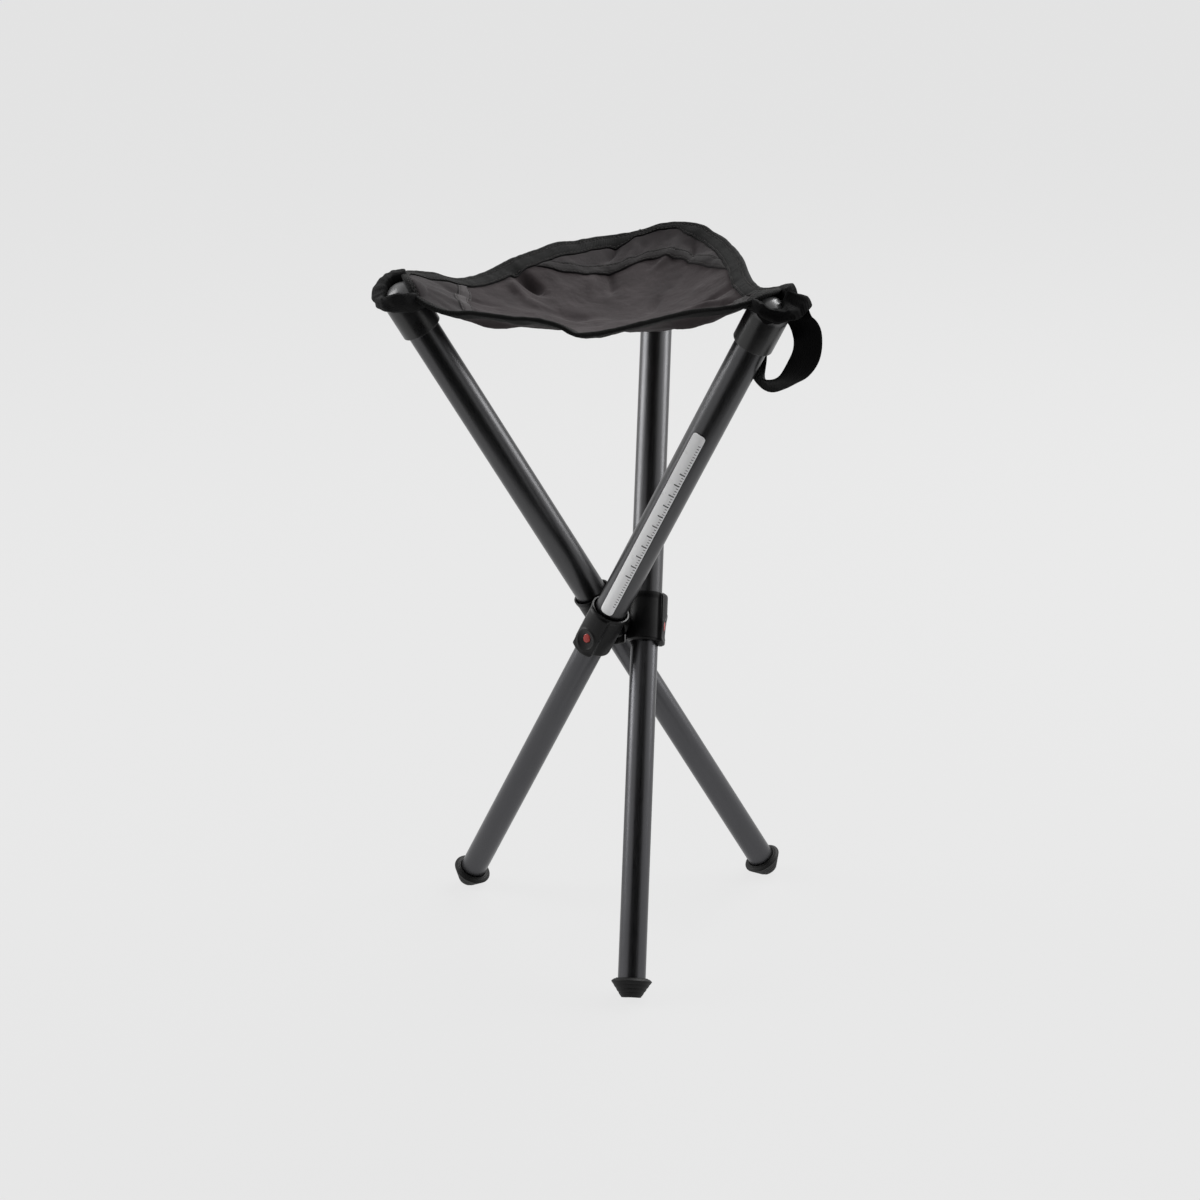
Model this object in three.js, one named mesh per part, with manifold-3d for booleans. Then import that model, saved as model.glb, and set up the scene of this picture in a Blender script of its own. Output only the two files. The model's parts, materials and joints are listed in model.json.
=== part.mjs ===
// A three-legged telescopic folding stool with a cloth seat.
// Millimetres, +Z up. Three skew legs cross at a central hub. Each leg turns on the hub
// about a level radial pivot, and its lower tube slides up into its upper tube once the
// button in the collar is pressed.

import * as THREE from 'three';
import { mergeVertices } from 'three/addons/utils/BufferGeometryUtils.js';
import Module from 'manifold-3d';

const wasm = await Module();
wasm.setup();

// Layout of the three legs
const legNames = ['a', 'b', 'c'];
const legAzimuths = [-120, 0, 120];
const legTilt = THREE.MathUtils.degToRad(30);

// Clearances
const seatGap = 0.3;
const runningGap = 0.5;
const overrun = 1;

// Tubes. Heights along a leg are measured from its pivot, up the leg.
const upperTubeRadius = 12.2;
const upperTubeWall = 1.25;
const lowerTubeWall = 1.1;
const upperReach = 279;
const lowerReach = 269.7;
const lowerTubeTop = 26;

// Collar, moulded over the lower end of the upper tube
const collarWall = 1.9;
const collarTop = 22.5;
const collarBottom = 12.5;
const collarFloor = 3.2;
const collarFlare = 1.1;
const collarFlareHeight = 2.6;
const panelRise = 3;
const panelHalfWidth = 9.6;
const panelCrown = 3.8;
const lipDrop = 4.9;
const lipThickness = 2.6;
const lipWaist = 3.2;
const dimpleRadius = 22;
const buttonDrop = 2.2;

// Release button, its spring washer and the lock
const buttonHalfWidth = 3;
const buttonHalfHeight = 4;
const buttonTravel = 1;
const buttonFlange = 0.9;
const buttonFlangeThickness = 0.5;
const buttonPlay = 0.25;
const buttonSkin = 0.6;
const buttonDome = 0.5;
const noseRadius = 2.4;
const pinHoleGap = 0.45;
const pinSink = 0.4;
const springThickness = 0.35;
const springWidth = 1.1;
const clipThickness = 0.8;
const clipWidth = 6;
const clipDepth = 22;

// Pivot rivet and hub
const rivetShankRadius = 2.2;
const rivetHeadRadius = 4;
const rivetHeadThickness = 1;
const pivotBossRadius = 9.5;
const pivotBossWall = 1.2;
const hubFaceDistance = 6.7;
const hubCornerRadius = 9.6;
const hubRise = 11;
const hubDrop = 15.5;
const hubTaper = 3.5;

// Guide bush on the upper end of the lower tube
const guideFlange = 3;
const guideStem = 12;
const guideWall = 2.2;

// End cap
const capWall = 2.5;
const capSkirt = 25;
const capDome = 13;
const capSeatDepth = 21.8;
const capStem = 15;
const capStemWall = 2.4;

// Rubber foot
const footFlangeRadius = 15.2;
const footTopRadius = 12.65;
const footChamfer = 2.1;
const footTipRadius = 7.4;
const footHeight = 14.2;
const footStem = 18;
const footBore = 5;
const footTubeSeat = 2.6;
const groundFacet = 1.2;

// Corner pocket round the cap
const pocketThickness = 2;
const pocketSkirt = 7;
const pocketMouthRadius = 8.5;

// Seat sling
const clothThickness = 1.4;
const slingDrop = 4;
const slingShoulder = 36;
const slingShoulderSetback = 8;
const slingEdgePull = 5;
const slingEdgeSag = 13;
const slingSag = 35;
const slingBowlPower = 2.1;
const slingFoldDepth = 2.4;
const slingFoldCount = 9;
const bindingWidth = 10;
const bindingThickness = 2.2;
const slingRings = 9;
const slingEdgeSteps = 12;

// Carry strap: a webbing loop at the corner of leg a
const strapWidth = 20;
const strapThickness = 1.6;
const strapDrop = 50;
const strapReach = 36;
const strapSteps = 26;

// Sticker on the upper tube of leg a
const labelWidth = 12.3;
const labelThickness = 0.3;
const labelStart = 24;
const labelLength = 177;
const labelTurn = THREE.MathUtils.degToRad(13);

// Facets of round parts
const tubeFacets = 32;
const capFacets = 24;
const smallFacets = 16;
const panelCrownSteps = 8;

// Sizes that follow from those above
const upperBoreRadius = upperTubeRadius - upperTubeWall;
const lowerTubeRadius = upperBoreRadius - runningGap;
const lowerBoreRadius = lowerTubeRadius - lowerTubeWall;
const collarBore = upperTubeRadius + seatGap;
const collarRadius = collarBore + collarWall;
const panelFace = collarRadius + panelRise;
const buttonFlangeSeat = collarBore + buttonTravel;
const buttonPocketTop = buttonFlangeSeat + buttonFlangeThickness + buttonPlay;
const dimpleFloor = buttonPocketTop + buttonSkin;
const buttonCrown = dimpleFloor + buttonTravel;
const buttonOvality = buttonHalfHeight / buttonHalfWidth;
const noseTip = upperTubeRadius - pinSink / 2;
const pinHead = upperTubeRadius - pinSink;
const rivetRecess = collarBore + rivetHeadThickness + seatGap;
const pivotBossReach = rivetRecess + pivotBossWall;
const legOffset = pivotBossReach + seatGap + hubFaceDistance;
const capRadius = collarBore + capWall;
const upperTubeTop = upperReach + capSeatDepth - seatGap;
const upperTubeBottom = collarFloor - collarBottom + seatGap;
const lowerTubeBottom = footTubeSeat + lowerReach - seatGap;
const footTip = lowerReach + footHeight;
const pocketHole = capRadius + seatGap;
const pocketRadius = pocketHole + pocketThickness;
const capShoulder = upperReach + capSkirt;
const slingCornerHeight = capShoulder - slingDrop;
const hubHeight = footTip * Math.cos(legTilt) + footTipRadius * Math.sin(legTilt) - groundFacet;

// Materials
function material(color, roughness, metalness) {
  return new THREE.MeshStandardMaterial({ color, roughness, metalness });
}

const finishes = {
  upperTube: material(0x4a4a4d, 0.35, 0.8),
  lowerTube: material(0x6a6a6e, 0.3, 0.85),
  plastic: material(0x18181a, 0.55, 0),
  button: material(0xd8431f, 0.4, 0),
  rubber: material(0x111112, 0.85, 0),
  steel: material(0x9a9a9c, 0.3, 1),
  guide: material(0xd9d9d4, 0.5, 0),
  cap: material(0x8d8d90, 0.4, 0.2),
  cloth: material(0x4b4543, 0.9, 0),
  webbing: material(0x161617, 0.85, 0),
  label: material(0xc9cace, 0.35, 0.3),
};

// A geometry with only merged positions and no collapsed triangles
function welded(source) {
  const bare = source.clone();
  bare.deleteAttribute('normal');
  bare.deleteAttribute('uv');
  const merged = mergeVertices(bare);
  const index = merged.index.array;
  const kept = [];
  for (let i = 0; i < index.length; i += 3) {
    const [a, b, c] = [index[i], index[i + 1], index[i + 2]];
    if (a !== b && b !== c && c !== a) {
      kept.push(a, b, c);
    }
  }
  merged.setIndex(kept);
  return merged;
}

// Booleans work on solids made from closed geometries
function solid(source) {
  const merged = welded(source);
  const mesh = new wasm.Mesh({
    numProp: 3,
    vertProperties: new Float32Array(merged.attributes.position.array),
    triVerts: new Uint32Array(merged.index.array),
  });
  return new wasm.Manifold(mesh);
}

function geometryOf(body) {
  const mesh = body.getMesh();
  const geometry = new THREE.BufferGeometry();
  geometry.setAttribute('position', new THREE.BufferAttribute(new Float32Array(mesh.vertProperties), 3));
  geometry.setIndex(Array.from(mesh.triVerts));
  geometry.computeVertexNormals();
  return geometry;
}

// A body of revolution about Z. The profile runs anticlockwise as [radius, height] pairs.
function turned(profile, facets) {
  const points = profile.map(([radius, height]) => new THREE.Vector2(radius, height));
  return welded(new THREE.LatheGeometry(points, facets).rotateX(Math.PI / 2));
}

// The same, about +X, for what lies along the outward direction of a leg
function turnedOutward(profile, facets) {
  return turned(profile, facets).rotateY(Math.PI / 2);
}

function ring(inner, outer, low, high, facets) {
  return turned([[inner, low], [outer, low], [outer, high], [inner, high], [inner, low]], facets);
}

function rod(radius, low, high, facets) {
  return turned([[0, low], [radius, low], [radius, high], [0, high]], facets);
}

function outwardRod(radius, low, high, facets) {
  return rod(radius, low, high, facets).rotateY(Math.PI / 2);
}

function closedShape(points) {
  return new THREE.Shape(points.map(([x, y]) => new THREE.Vector2(x, y)));
}

// An outline in X and Z, drawn through the full width along Y
function sideExtrusion(shape, halfWidth) {
  const geometry = new THREE.ExtrudeGeometry(shape, {
    depth: 2 * halfWidth,
    bevelEnabled: false,
    curveSegments: 8,
  });
  return geometry.translate(0, 0, -halfWidth).rotateX(Math.PI / 2);
}

// An outline in X and Y, drawn upwards
function uprightExtrusion(shape, low, high) {
  const settings = { depth: high - low, bevelEnabled: false, curveSegments: 8 };
  return new THREE.ExtrudeGeometry(shape, settings).translate(0, 0, low);
}

// A closed body through four-cornered sections
function lofted(sections) {
  const positions = sections.flatMap((corners) => corners.flatMap((point) => point.toArray()));
  const index = [];
  const last = (sections.length - 1) * 4;
  for (let row = 0; row < last; row += 4) {
    for (let side = 0; side < 4; side += 1) {
      const next = (side + 1) % 4;
      index.push(row + side, row + next, row + 4 + next);
      index.push(row + side, row + 4 + next, row + 4 + side);
    }
  }
  index.push(0, 2, 1, 0, 3, 2);
  index.push(last, last + 1, last + 2, last, last + 2, last + 3);
  const geometry = new THREE.BufferGeometry();
  geometry.setAttribute('position', new THREE.Float32BufferAttribute(positions, 3));
  geometry.setIndex(index);
  return outwardFacing(geometry);
}

// Turns the triangles over when they enclose a negative volume
function outwardFacing(geometry) {
  const position = geometry.attributes.position;
  const index = Array.from(geometry.index.array);
  const corner = [0, 1, 2].map(() => new THREE.Vector3());
  let volume = 0;
  for (let i = 0; i < index.length; i += 3) {
    corner.forEach((point, k) => point.fromBufferAttribute(position, index[i + k]));
    volume += corner[0].dot(corner[1].clone().cross(corner[2]));
  }
  if (volume < 0) {
    for (let i = 0; i < index.length; i += 3) {
      [index[i], index[i + 1]] = [index[i + 1], index[i]];
    }
    geometry.setIndex(index);
  }
  return geometry;
}

function quarterArc(radius, rise, base, steps, from = 0, to = Math.PI / 2) {
  return Array.from({ length: steps + 1 }, (unused, i) => {
    const angle = from + ((to - from) * i) / steps;
    return [radius * Math.cos(angle), base + rise * Math.sin(angle)];
  });
}

// Upper tube, with the hole that the locking pin and the button's nose share
function upperTube() {
  const tube = ring(upperBoreRadius, upperTubeRadius, upperTubeBottom, upperTubeTop, tubeFacets);
  const holeRadius = noseRadius + pinHoleGap;
  const hole = outwardRod(holeRadius, 0, upperTubeRadius + overrun, smallFacets);
  return geometryOf(solid(tube).subtract(solid(hole.translate(0, 0, -buttonDrop))));
}

function lowerTube() {
  const tube = ring(lowerBoreRadius, lowerTubeRadius, -lowerTubeBottom, lowerTubeTop, tubeFacets);
  const holeRadius = noseRadius + pinHoleGap;
  const hole = outwardRod(holeRadius, 0, lowerTubeRadius + overrun, smallFacets);
  return geometryOf(solid(tube).subtract(solid(hole.translate(0, 0, -buttonDrop))));
}

// Plastic bush: a flange that runs in the upper tube and a hollow stem in the lower one
function guideBush() {
  const stemRadius = lowerBoreRadius - seatGap;
  const bore = stemRadius - guideWall;
  const flangeRadius = upperBoreRadius - seatGap;
  const flangeLow = lowerTubeTop + seatGap;
  const flangeHigh = flangeLow + guideFlange;
  const stemLow = flangeLow - guideStem;
  return turned([
    [bore, stemLow],
    [stemRadius, stemLow],
    [stemRadius, flangeLow],
    [flangeRadius, flangeLow],
    [flangeRadius, flangeHigh],
    [bore, flangeHigh],
    [bore, stemLow],
  ], smallFacets);
}

// Collar outline seen from the end of the tube: round at the back, crowned at the panel
function collarSection() {
  const steps = 20;
  const start = Math.asin(panelHalfWidth / collarRadius);
  const points = Array.from({ length: steps + 1 }, (unused, i) => {
    const angle = start + ((2 * Math.PI - 2 * start) * i) / steps;
    return [collarRadius * Math.cos(angle), collarRadius * Math.sin(angle)];
  });
  for (let i = 0; i <= panelCrownSteps; i += 1) {
    const side = (2 * i) / panelCrownSteps - 1;
    points.push([panelFace - panelCrown * side ** 2, panelHalfWidth * side]);
  }
  return closedShape(points);
}

// Collar outline seen from the side: straight back, and a panel face that draws in
// below the button and comes out again at the lip
function collarProfile() {
  const lipBottom = -collarBottom - lipDrop;
  const lipFace = panelFace - panelRise / 2;
  const shape = new THREE.Shape();
  shape.moveTo(-collarRadius - overrun, -collarBottom);
  shape.lineTo(collarRadius - 2 * lipThickness, -collarBottom);
  shape.quadraticCurveTo(lipFace - lipThickness, -collarBottom, lipFace - lipThickness / 2, lipBottom);
  shape.quadraticCurveTo(lipFace, lipBottom, lipFace, lipBottom + lipThickness / 2);
  const waist = [lipFace - lipWaist, -collarBottom];
  shape.bezierCurveTo(...waist, panelFace, lipBottom / 2, panelFace, 0);
  shape.lineTo(panelFace, collarTop - panelRise);
  shape.quadraticCurveTo(panelFace, collarTop, panelFace - panelRise, collarTop);
  shape.lineTo(-collarRadius - overrun, collarTop);
  return shape;
}

function buttonOutline(margin) {
  const shape = new THREE.Shape();
  const halfWidth = buttonHalfWidth + margin;
  shape.absellipse(0, 0, halfWidth * buttonOvality, halfWidth, 0, 2 * Math.PI);
  return shape;
}

// A prism of the button's oval outline, drawn outward between two distances
function buttonPrism(margin, low, high) {
  const settings = { depth: high - low, bevelEnabled: false, curveSegments: 8 };
  const prism = new THREE.ExtrudeGeometry(buttonOutline(margin), settings);
  return prism.translate(0, 0, low).rotateY(Math.PI / 2).translate(0, 0, -buttonDrop);
}

function collar() {
  const body = solid(uprightExtrusion(collarSection(), -collarBottom - lipDrop - overrun, collarTop));
  const profile = solid(sideExtrusion(collarProfile(), collarRadius + overrun));
  const flareLow = collarTop - collarFlareHeight;
  const flareRadius = collarRadius + collarFlare / 2;
  const lip = turned([
    [collarRadius - overrun, flareLow - collarFlareHeight],
    [collarRadius, flareLow - collarFlareHeight],
    [flareRadius, flareLow],
    [flareRadius, collarTop],
    [collarRadius - overrun, collarTop],
    [collarRadius - overrun, flareLow - collarFlareHeight],
  ], tubeFacets);
  const boss = outwardRod(pivotBossRadius, -pivotBossReach, 0, tubeFacets);
  const tubeSeat = turned([
    [0, upperTubeBottom - seatGap],
    [collarBore, upperTubeBottom - seatGap],
    [collarBore, flareLow],
    [collarBore + collarFlare, collarTop + overrun],
    [0, collarTop + overrun],
  ], tubeFacets);
  const throatRadius = lowerTubeRadius + runningGap;
  const throat = rod(throatRadius, -collarBottom - lipDrop - 2 * overrun, 0, tubeFacets);
  const dimple = new THREE.SphereGeometry(dimpleRadius, 40, 24);
  dimple.translate(dimpleFloor + dimpleRadius, 0, -buttonDrop);
  const recess = outwardRod(rivetHeadRadius + runningGap, -rivetRecess, 0, smallFacets);
  const rivetHole = outwardRod(rivetShankRadius + seatGap, -pivotBossReach - overrun, 0, smallFacets);
  return geometryOf(
    body
      .intersect(profile)
      .add(solid(lip))
      .add(solid(boss))
      .subtract(solid(tubeSeat))
      .subtract(solid(throat))
      .subtract(solid(dimple))
      .subtract(solid(buttonPrism(buttonPlay, 0, panelFace)))
      .subtract(solid(buttonPrism(buttonFlange + buttonPlay, 0, buttonPocketTop)))
      .subtract(solid(recess))
      .subtract(solid(rivetHole)),
  );
}

// Button: nose, flange and domed oval crown, turned and then drawn out to an oval
function pushButton() {
  const flangeRadius = buttonHalfWidth + buttonFlange;
  const flangeTop = buttonFlangeSeat + buttonFlangeThickness;
  const domeBase = buttonCrown - buttonDome;
  const button = turnedOutward([
    [0, noseTip],
    [noseRadius / buttonOvality, noseTip],
    [noseRadius / buttonOvality, buttonFlangeSeat],
    [flangeRadius, buttonFlangeSeat],
    [flangeRadius, flangeTop],
    [buttonHalfWidth, flangeTop],
    [buttonHalfWidth, domeBase],
    ...quarterArc(buttonHalfWidth, buttonDome, domeBase, 3).slice(1),
  ], smallFacets);
  return button.scale(1, 1, buttonOvality).translate(0, 0, -buttonDrop);
}

// Coned spring washer between the button's flange and the tube
function buttonSpring() {
  const inner = noseRadius + seatGap;
  const outer = inner + springWidth;
  const low = upperTubeRadius + seatGap / 2;
  const high = buttonFlangeSeat - seatGap;
  const washer = turnedOutward([
    [inner, high - springThickness],
    [outer, low],
    [outer, low + springThickness],
    [inner, high],
    [inner, high - springThickness],
  ], smallFacets);
  return washer.translate(0, 0, -buttonDrop);
}

// Lock clip: a bent leaf spring in the lower tube that carries the locking pin
function lockClip() {
  const wallReach = lowerBoreRadius - clipThickness - seatGap;
  const bendDepth = buttonDrop + clipDepth;
  const outerTop = noseRadius + clipThickness - buttonDrop;
  const shape = closedShape([
    [wallReach, outerTop],
    [wallReach, -bendDepth / 2],
    [clipThickness, -bendDepth],
    [-clipThickness, -bendDepth],
    [-wallReach, -bendDepth / 2],
    [-wallReach, -buttonDrop],
    [clipThickness - wallReach, -buttonDrop],
    [clipThickness - wallReach, -bendDepth / 2],
    [0, clipThickness - bendDepth],
    [wallReach - clipThickness, -bendDepth / 2],
    [wallReach - clipThickness, outerTop],
  ]);
  const leaf = solid(sideExtrusion(shape, clipWidth / 2));
  const pin = outwardRod(noseRadius, wallReach - clipThickness / 2, pinHead, smallFacets);
  return geometryOf(leaf.add(solid(pin.translate(0, 0, -buttonDrop))));
}

// Rivet through the collar's boss into the hub, its head inside the collar
function pivotRivet() {
  const headTop = upperTubeRadius + seatGap;
  const rivet = turnedOutward([
    [0, headTop],
    [rivetHeadRadius, headTop],
    [rivetHeadRadius, headTop + rivetHeadThickness],
    [rivetShankRadius, headTop + rivetHeadThickness],
    [rivetShankRadius, legOffset - rivetShankRadius],
    [0, legOffset - rivetShankRadius],
  ], smallFacets);
  return rivet.rotateZ(Math.PI);
}

// Three-way hub: a tapered prism with a flat towards each leg and a bore in each flat
function hub() {
  const halfFlat = Math.sqrt(hubCornerRadius ** 2 - hubFaceDistance ** 2);
  const outline = legAzimuths.flatMap((azimuth) => [-halfFlat, halfFlat].map((side) => {
    const point = new THREE.Vector2(hubFaceDistance, side);
    return point.rotateAround(new THREE.Vector2(), THREE.MathUtils.degToRad(azimuth)).toArray();
  }));
  const prism = solid(uprightExtrusion(closedShape(outline), -hubDrop, hubRise));
  const envelope = solid(turned([
    [0, -hubDrop],
    [hubCornerRadius - hubTaper, -hubDrop],
    [hubCornerRadius, hubTaper - hubDrop],
    [hubCornerRadius, hubRise - hubTaper],
    [hubCornerRadius - hubTaper, hubRise],
    [0, hubRise],
  ], capFacets));
  return geometryOf(legAzimuths.reduce((body, azimuth) => {
    const bore = outwardRod(rivetShankRadius + seatGap, 0, hubCornerRadius + overrun, smallFacets);
    return body.subtract(solid(bore.rotateZ(THREE.MathUtils.degToRad(azimuth))));
  }, prism.intersect(envelope)));
}

// End cap: domed top, skirt over the tube and a hollow stem inside it
function endCap() {
  const stemRadius = upperBoreRadius - seatGap;
  const stemBore = stemRadius - capStemWall;
  const seat = upperReach + capSeatDepth;
  const stemLow = seat - capStem;
  return turned([
    [0, seat],
    [stemBore, seat - capStemWall],
    [stemBore, stemLow],
    [stemRadius, stemLow],
    [stemRadius, seat],
    [collarBore, seat],
    [collarBore, upperReach],
    ...quarterArc(capRadius, capDome, capShoulder, 6).map(([radius, height], i) => (
      i === 0 ? [radius, upperReach] : [radius, height]
    )),
  ], capFacets);
}

// Rubber foot: flange, cone and a stem in the tube, cut flat where it meets the ground
function foot() {
  const tubeHole = lowerTubeRadius + seatGap;
  const stemRadius = lowerBoreRadius - seatGap;
  const groove = -lowerReach - footTubeSeat;
  const stemTop = footStem - lowerReach;
  const body = turned([
    [0, -footTip],
    [footTipRadius, -footTip],
    [footFlangeRadius, -lowerReach - footChamfer],
    [footTopRadius, -lowerReach],
    [tubeHole, -lowerReach],
    [tubeHole, groove],
    [stemRadius, groove],
    [stemRadius, stemTop],
    [footBore, stemTop],
    [footBore, groove],
    [0, groove],
  ], capFacets);
  const side = 4 * footFlangeRadius;
  const ground = new THREE.BoxGeometry(side, side, side);
  ground.translate(0, -footTip * Math.sin(legTilt), -side / 2 - hubHeight).rotateX(legTilt);
  return geometryOf(solid(body).subtract(solid(ground)));
}

// Webbing pocket that sits on the cap's shoulder and leaves the dome's top open
function cornerPocket() {
  const skirtLow = capShoulder - pocketSkirt;
  const innerRise = capDome + seatGap;
  const outerRise = innerRise + pocketThickness;
  const innerEnd = Math.acos(pocketMouthRadius / pocketHole);
  const outerEnd = Math.acos(pocketMouthRadius / pocketRadius);
  const outer = quarterArc(pocketRadius, outerRise, capShoulder, 5, 0, outerEnd);
  const inner = quarterArc(pocketHole, innerRise, capShoulder, 5, 0, innerEnd).reverse();
  return turned([
    [pocketHole, skirtLow],
    [pocketRadius, skirtLow],
    ...outer,
    ...inner,
    [pocketHole, skirtLow],
  ], capFacets);
}

// Long sticker bent round the tube, rounded at its upper end
function label() {
  const inner = upperTubeRadius + seatGap;
  const sleeve = ring(inner, inner + labelThickness, labelStart, labelStart + labelLength, 3 * tubeFacets);
  const half = labelWidth / 2;
  const shape = new THREE.Shape();
  shape.moveTo(labelStart, -half);
  shape.lineTo(labelStart + labelLength - half, -half);
  shape.absarc(labelStart + labelLength - half, 0, half, -Math.PI / 2, Math.PI / 2);
  shape.lineTo(labelStart, half);
  const settings = { depth: inner + labelThickness, bevelEnabled: false, curveSegments: 8 };
  const cutter = new THREE.ExtrudeGeometry(shape, settings).rotateY(-Math.PI / 2);
  cutter.scale(-1, 1, 1);
  const flipped = outwardFacing(welded(cutter));
  return geometryOf(solid(sleeve).intersect(solid(flipped))).rotateZ(labelTurn);
}

// Places in the seat, in the stool's own frame
function seatPoint(azimuth, radial, sideways, height) {
  const point = new THREE.Vector3(radial, sideways, height);
  return point.applyAxisAngle(new THREE.Vector3(0, 0, 1), azimuth);
}

const slingCorner = (() => {
  const inward = pocketRadius + seatGap + (clothThickness / 2) * Math.sin(legTilt);
  const across = slingCornerHeight * Math.sin(legTilt) - inward * Math.cos(legTilt);
  const height = hubHeight + slingCornerHeight * Math.cos(legTilt) + inward * Math.sin(legTilt);
  const azimuth = Math.atan2(upperReach * Math.sin(legTilt), legOffset);
  return { radius: Math.hypot(across, legOffset), height, azimuth };
})();

// The azimuth of the seat corner over each leg
function cornerAzimuth(leg) {
  return slingCorner.azimuth + THREE.MathUtils.degToRad(legAzimuths[leg]);
}

function cornerEdge(leg) {
  const azimuth = cornerAzimuth(leg);
  const { radius, height } = slingCorner;
  const back = radius - slingShoulderSetback;
  return [
    seatPoint(azimuth, back, -slingShoulder, height - slingShoulderSetback / 4),
    seatPoint(azimuth, radius - slingShoulderSetback / 4, -slingShoulder / 2, height),
    seatPoint(azimuth, radius, 0, height),
    seatPoint(azimuth, radius - slingShoulderSetback / 4, slingShoulder / 2, height),
    seatPoint(azimuth, back, slingShoulder, height - slingShoulderSetback / 4),
  ];
}

// The long edge between two corners, pulled in and sagging at its middle
function longEdge(leg) {
  const start = cornerEdge(leg)[4];
  const end = cornerEdge((leg + 1) % 3)[0];
  const middle = start.clone().add(end).multiplyScalar(0.5);
  const inward = new THREE.Vector3(middle.x, middle.y, 0).setLength(slingEdgePull);
  middle.sub(inward);
  middle.z -= slingEdgeSag;
  const control = middle.clone().multiplyScalar(2).sub(start.clone().add(end).multiplyScalar(0.5));
  return new THREE.QuadraticBezierCurve3(start, control, end);
}

// A point moved towards the stool's axis by a distance
function movedIn(point, distance) {
  const flat = new THREE.Vector3(point.x, point.y, 0).setLength(distance);
  return point.clone().sub(flat);
}

function slingOutline() {
  return legNames.flatMap((name, leg) => {
    const edge = longEdge(leg).getPoints(slingEdgeSteps);
    const inset = bindingWidth + seatGap;
    const inner = edge.slice(1, -1).map((point) => movedIn(point, inset));
    return [...cornerEdge(leg), ...inner];
  });
}

// Height of the cloth's middle surface: a bowl with tension folds that run to the corners
function clothHeight(edge, share) {
  const floor = slingCorner.height - slingSag;
  const bowl = floor + (edge.z - floor) * share ** slingBowlPower;
  const azimuth = Math.atan2(edge.y, edge.x) - slingCorner.azimuth;
  const fold = Math.cos(slingFoldCount * azimuth) * share * share * (1 - share) * 4;
  return bowl + slingFoldDepth * fold;
}

function seatSling() {
  const outline = slingOutline();
  const count = outline.length;
  const half = clothThickness / 2;
  const positions = [];
  [half, -half].forEach((offset) => {
    positions.push(0, 0, slingCorner.height - slingSag + offset);
    for (let ringNumber = 1; ringNumber <= slingRings; ringNumber += 1) {
      const share = ringNumber / slingRings;
      outline.forEach((edge) => {
        positions.push(edge.x * share, edge.y * share, clothHeight(edge, share) + offset);
      });
    }
  });
  const sheetSize = 1 + slingRings * count;
  const index = [];
  for (let i = 0; i < count; i += 1) {
    const next = (i + 1) % count;
    index.push(0, 1 + i, 1 + next);
    index.push(sheetSize, sheetSize + 1 + next, sheetSize + 1 + i);
    for (let ringNumber = 0; ringNumber < slingRings - 1; ringNumber += 1) {
      const a = 1 + ringNumber * count + i;
      const b = 1 + ringNumber * count + next;
      index.push(a, a + count, b + count, a, b + count, b);
      const [c, d] = [a + sheetSize, b + sheetSize];
      index.push(c, d + count, c + count, c, d, d + count);
    }
    const rim = 1 + (slingRings - 1) * count;
    const [top, topNext] = [rim + i, rim + next];
    index.push(top, top + sheetSize, topNext + sheetSize, top, topNext + sheetSize, topNext);
  }
  const geometry = new THREE.BufferGeometry();
  geometry.setAttribute('position', new THREE.Float32BufferAttribute(positions, 3));
  geometry.setIndex(index);
  return outwardFacing(geometry);
}

// Folded hem along one long edge, from shoulder to shoulder
function edgeBinding(leg) {
  const half = bindingThickness / 2;
  const points = longEdge(leg).getPoints(slingEdgeSteps).slice(1, -1);
  return lofted(points.map((outer) => {
    const inner = movedIn(outer, bindingWidth);
    return [
      new THREE.Vector3(inner.x, inner.y, inner.z + half),
      new THREE.Vector3(outer.x, outer.y, outer.z + half),
      new THREE.Vector3(outer.x, outer.y, outer.z - half),
      new THREE.Vector3(inner.x, inner.y, inner.z - half),
    ];
  }));
}

// The strap's middle line and its width direction, in leg a's frame. The first three
// shares are of the strap's reach, reach and drop, from the middle of the cap's shoulder.
const strapRouteShares = [
  [-0.31, 0.40, 0.04, 0, 0, 1],
  [-0.35, 0.54, 0.10, 0, 0.4, 0.9],
  [-0.38, 0.79, -0.02, -0.6, 0.67, 0.44],
  [-0.38, 0.96, -0.30, -0.56, 0.83, 0.06],
  [-0.34, 0.90, -0.64, -0.68, 0.65, -0.34],
  [-0.36, 0.67, -0.89, -0.5, 0.6, -0.6],
  [-0.43, 0.36, -0.92, -0.2, 0.95, -0.1],
  [-0.48, 0.11, -0.72, 0, 1, 0.1],
  [-0.47, 0, -0.40, 0, 1, 0],
];

function carryStrap() {
  const centres = strapRouteShares.map(([out, side, up]) => (
    new THREE.Vector3(out * strapReach, side * strapReach, capShoulder + up * strapDrop)
  ));
  const endRadius = (pocketHole + pocketRadius) / 2;
  centres.push(new THREE.Vector3(-endRadius, 0, capShoulder - pocketSkirt - seatGap));
  const widths = strapRouteShares.map(([, , , x, y, z]) => new THREE.Vector3(x, y, z).normalize());
  widths.push(new THREE.Vector3(0, 1, 0));
  const route = new THREE.CatmullRomCurve3(centres);
  const turns = new THREE.CatmullRomCurve3(widths);
  const sections = Array.from({ length: strapSteps + 1 }, (unused, i) => {
    const share = i / strapSteps;
    const centre = route.getPoint(share);
    const across = turns.getPoint(share).normalize();
    const along = route.getTangent(share);
    const normal = along.clone().cross(across).normalize().multiplyScalar(strapThickness / 2);
    const half = across.clone().multiplyScalar(strapWidth / 2);
    return [
      centre.clone().add(half).add(normal),
      centre.clone().sub(half).add(normal),
      centre.clone().sub(half).sub(normal),
      centre.clone().add(half).sub(normal),
    ];
  });
  return lofted(sections);
}

// Assembly
const stool = new THREE.Group();
const frame = new THREE.Group();

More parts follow.
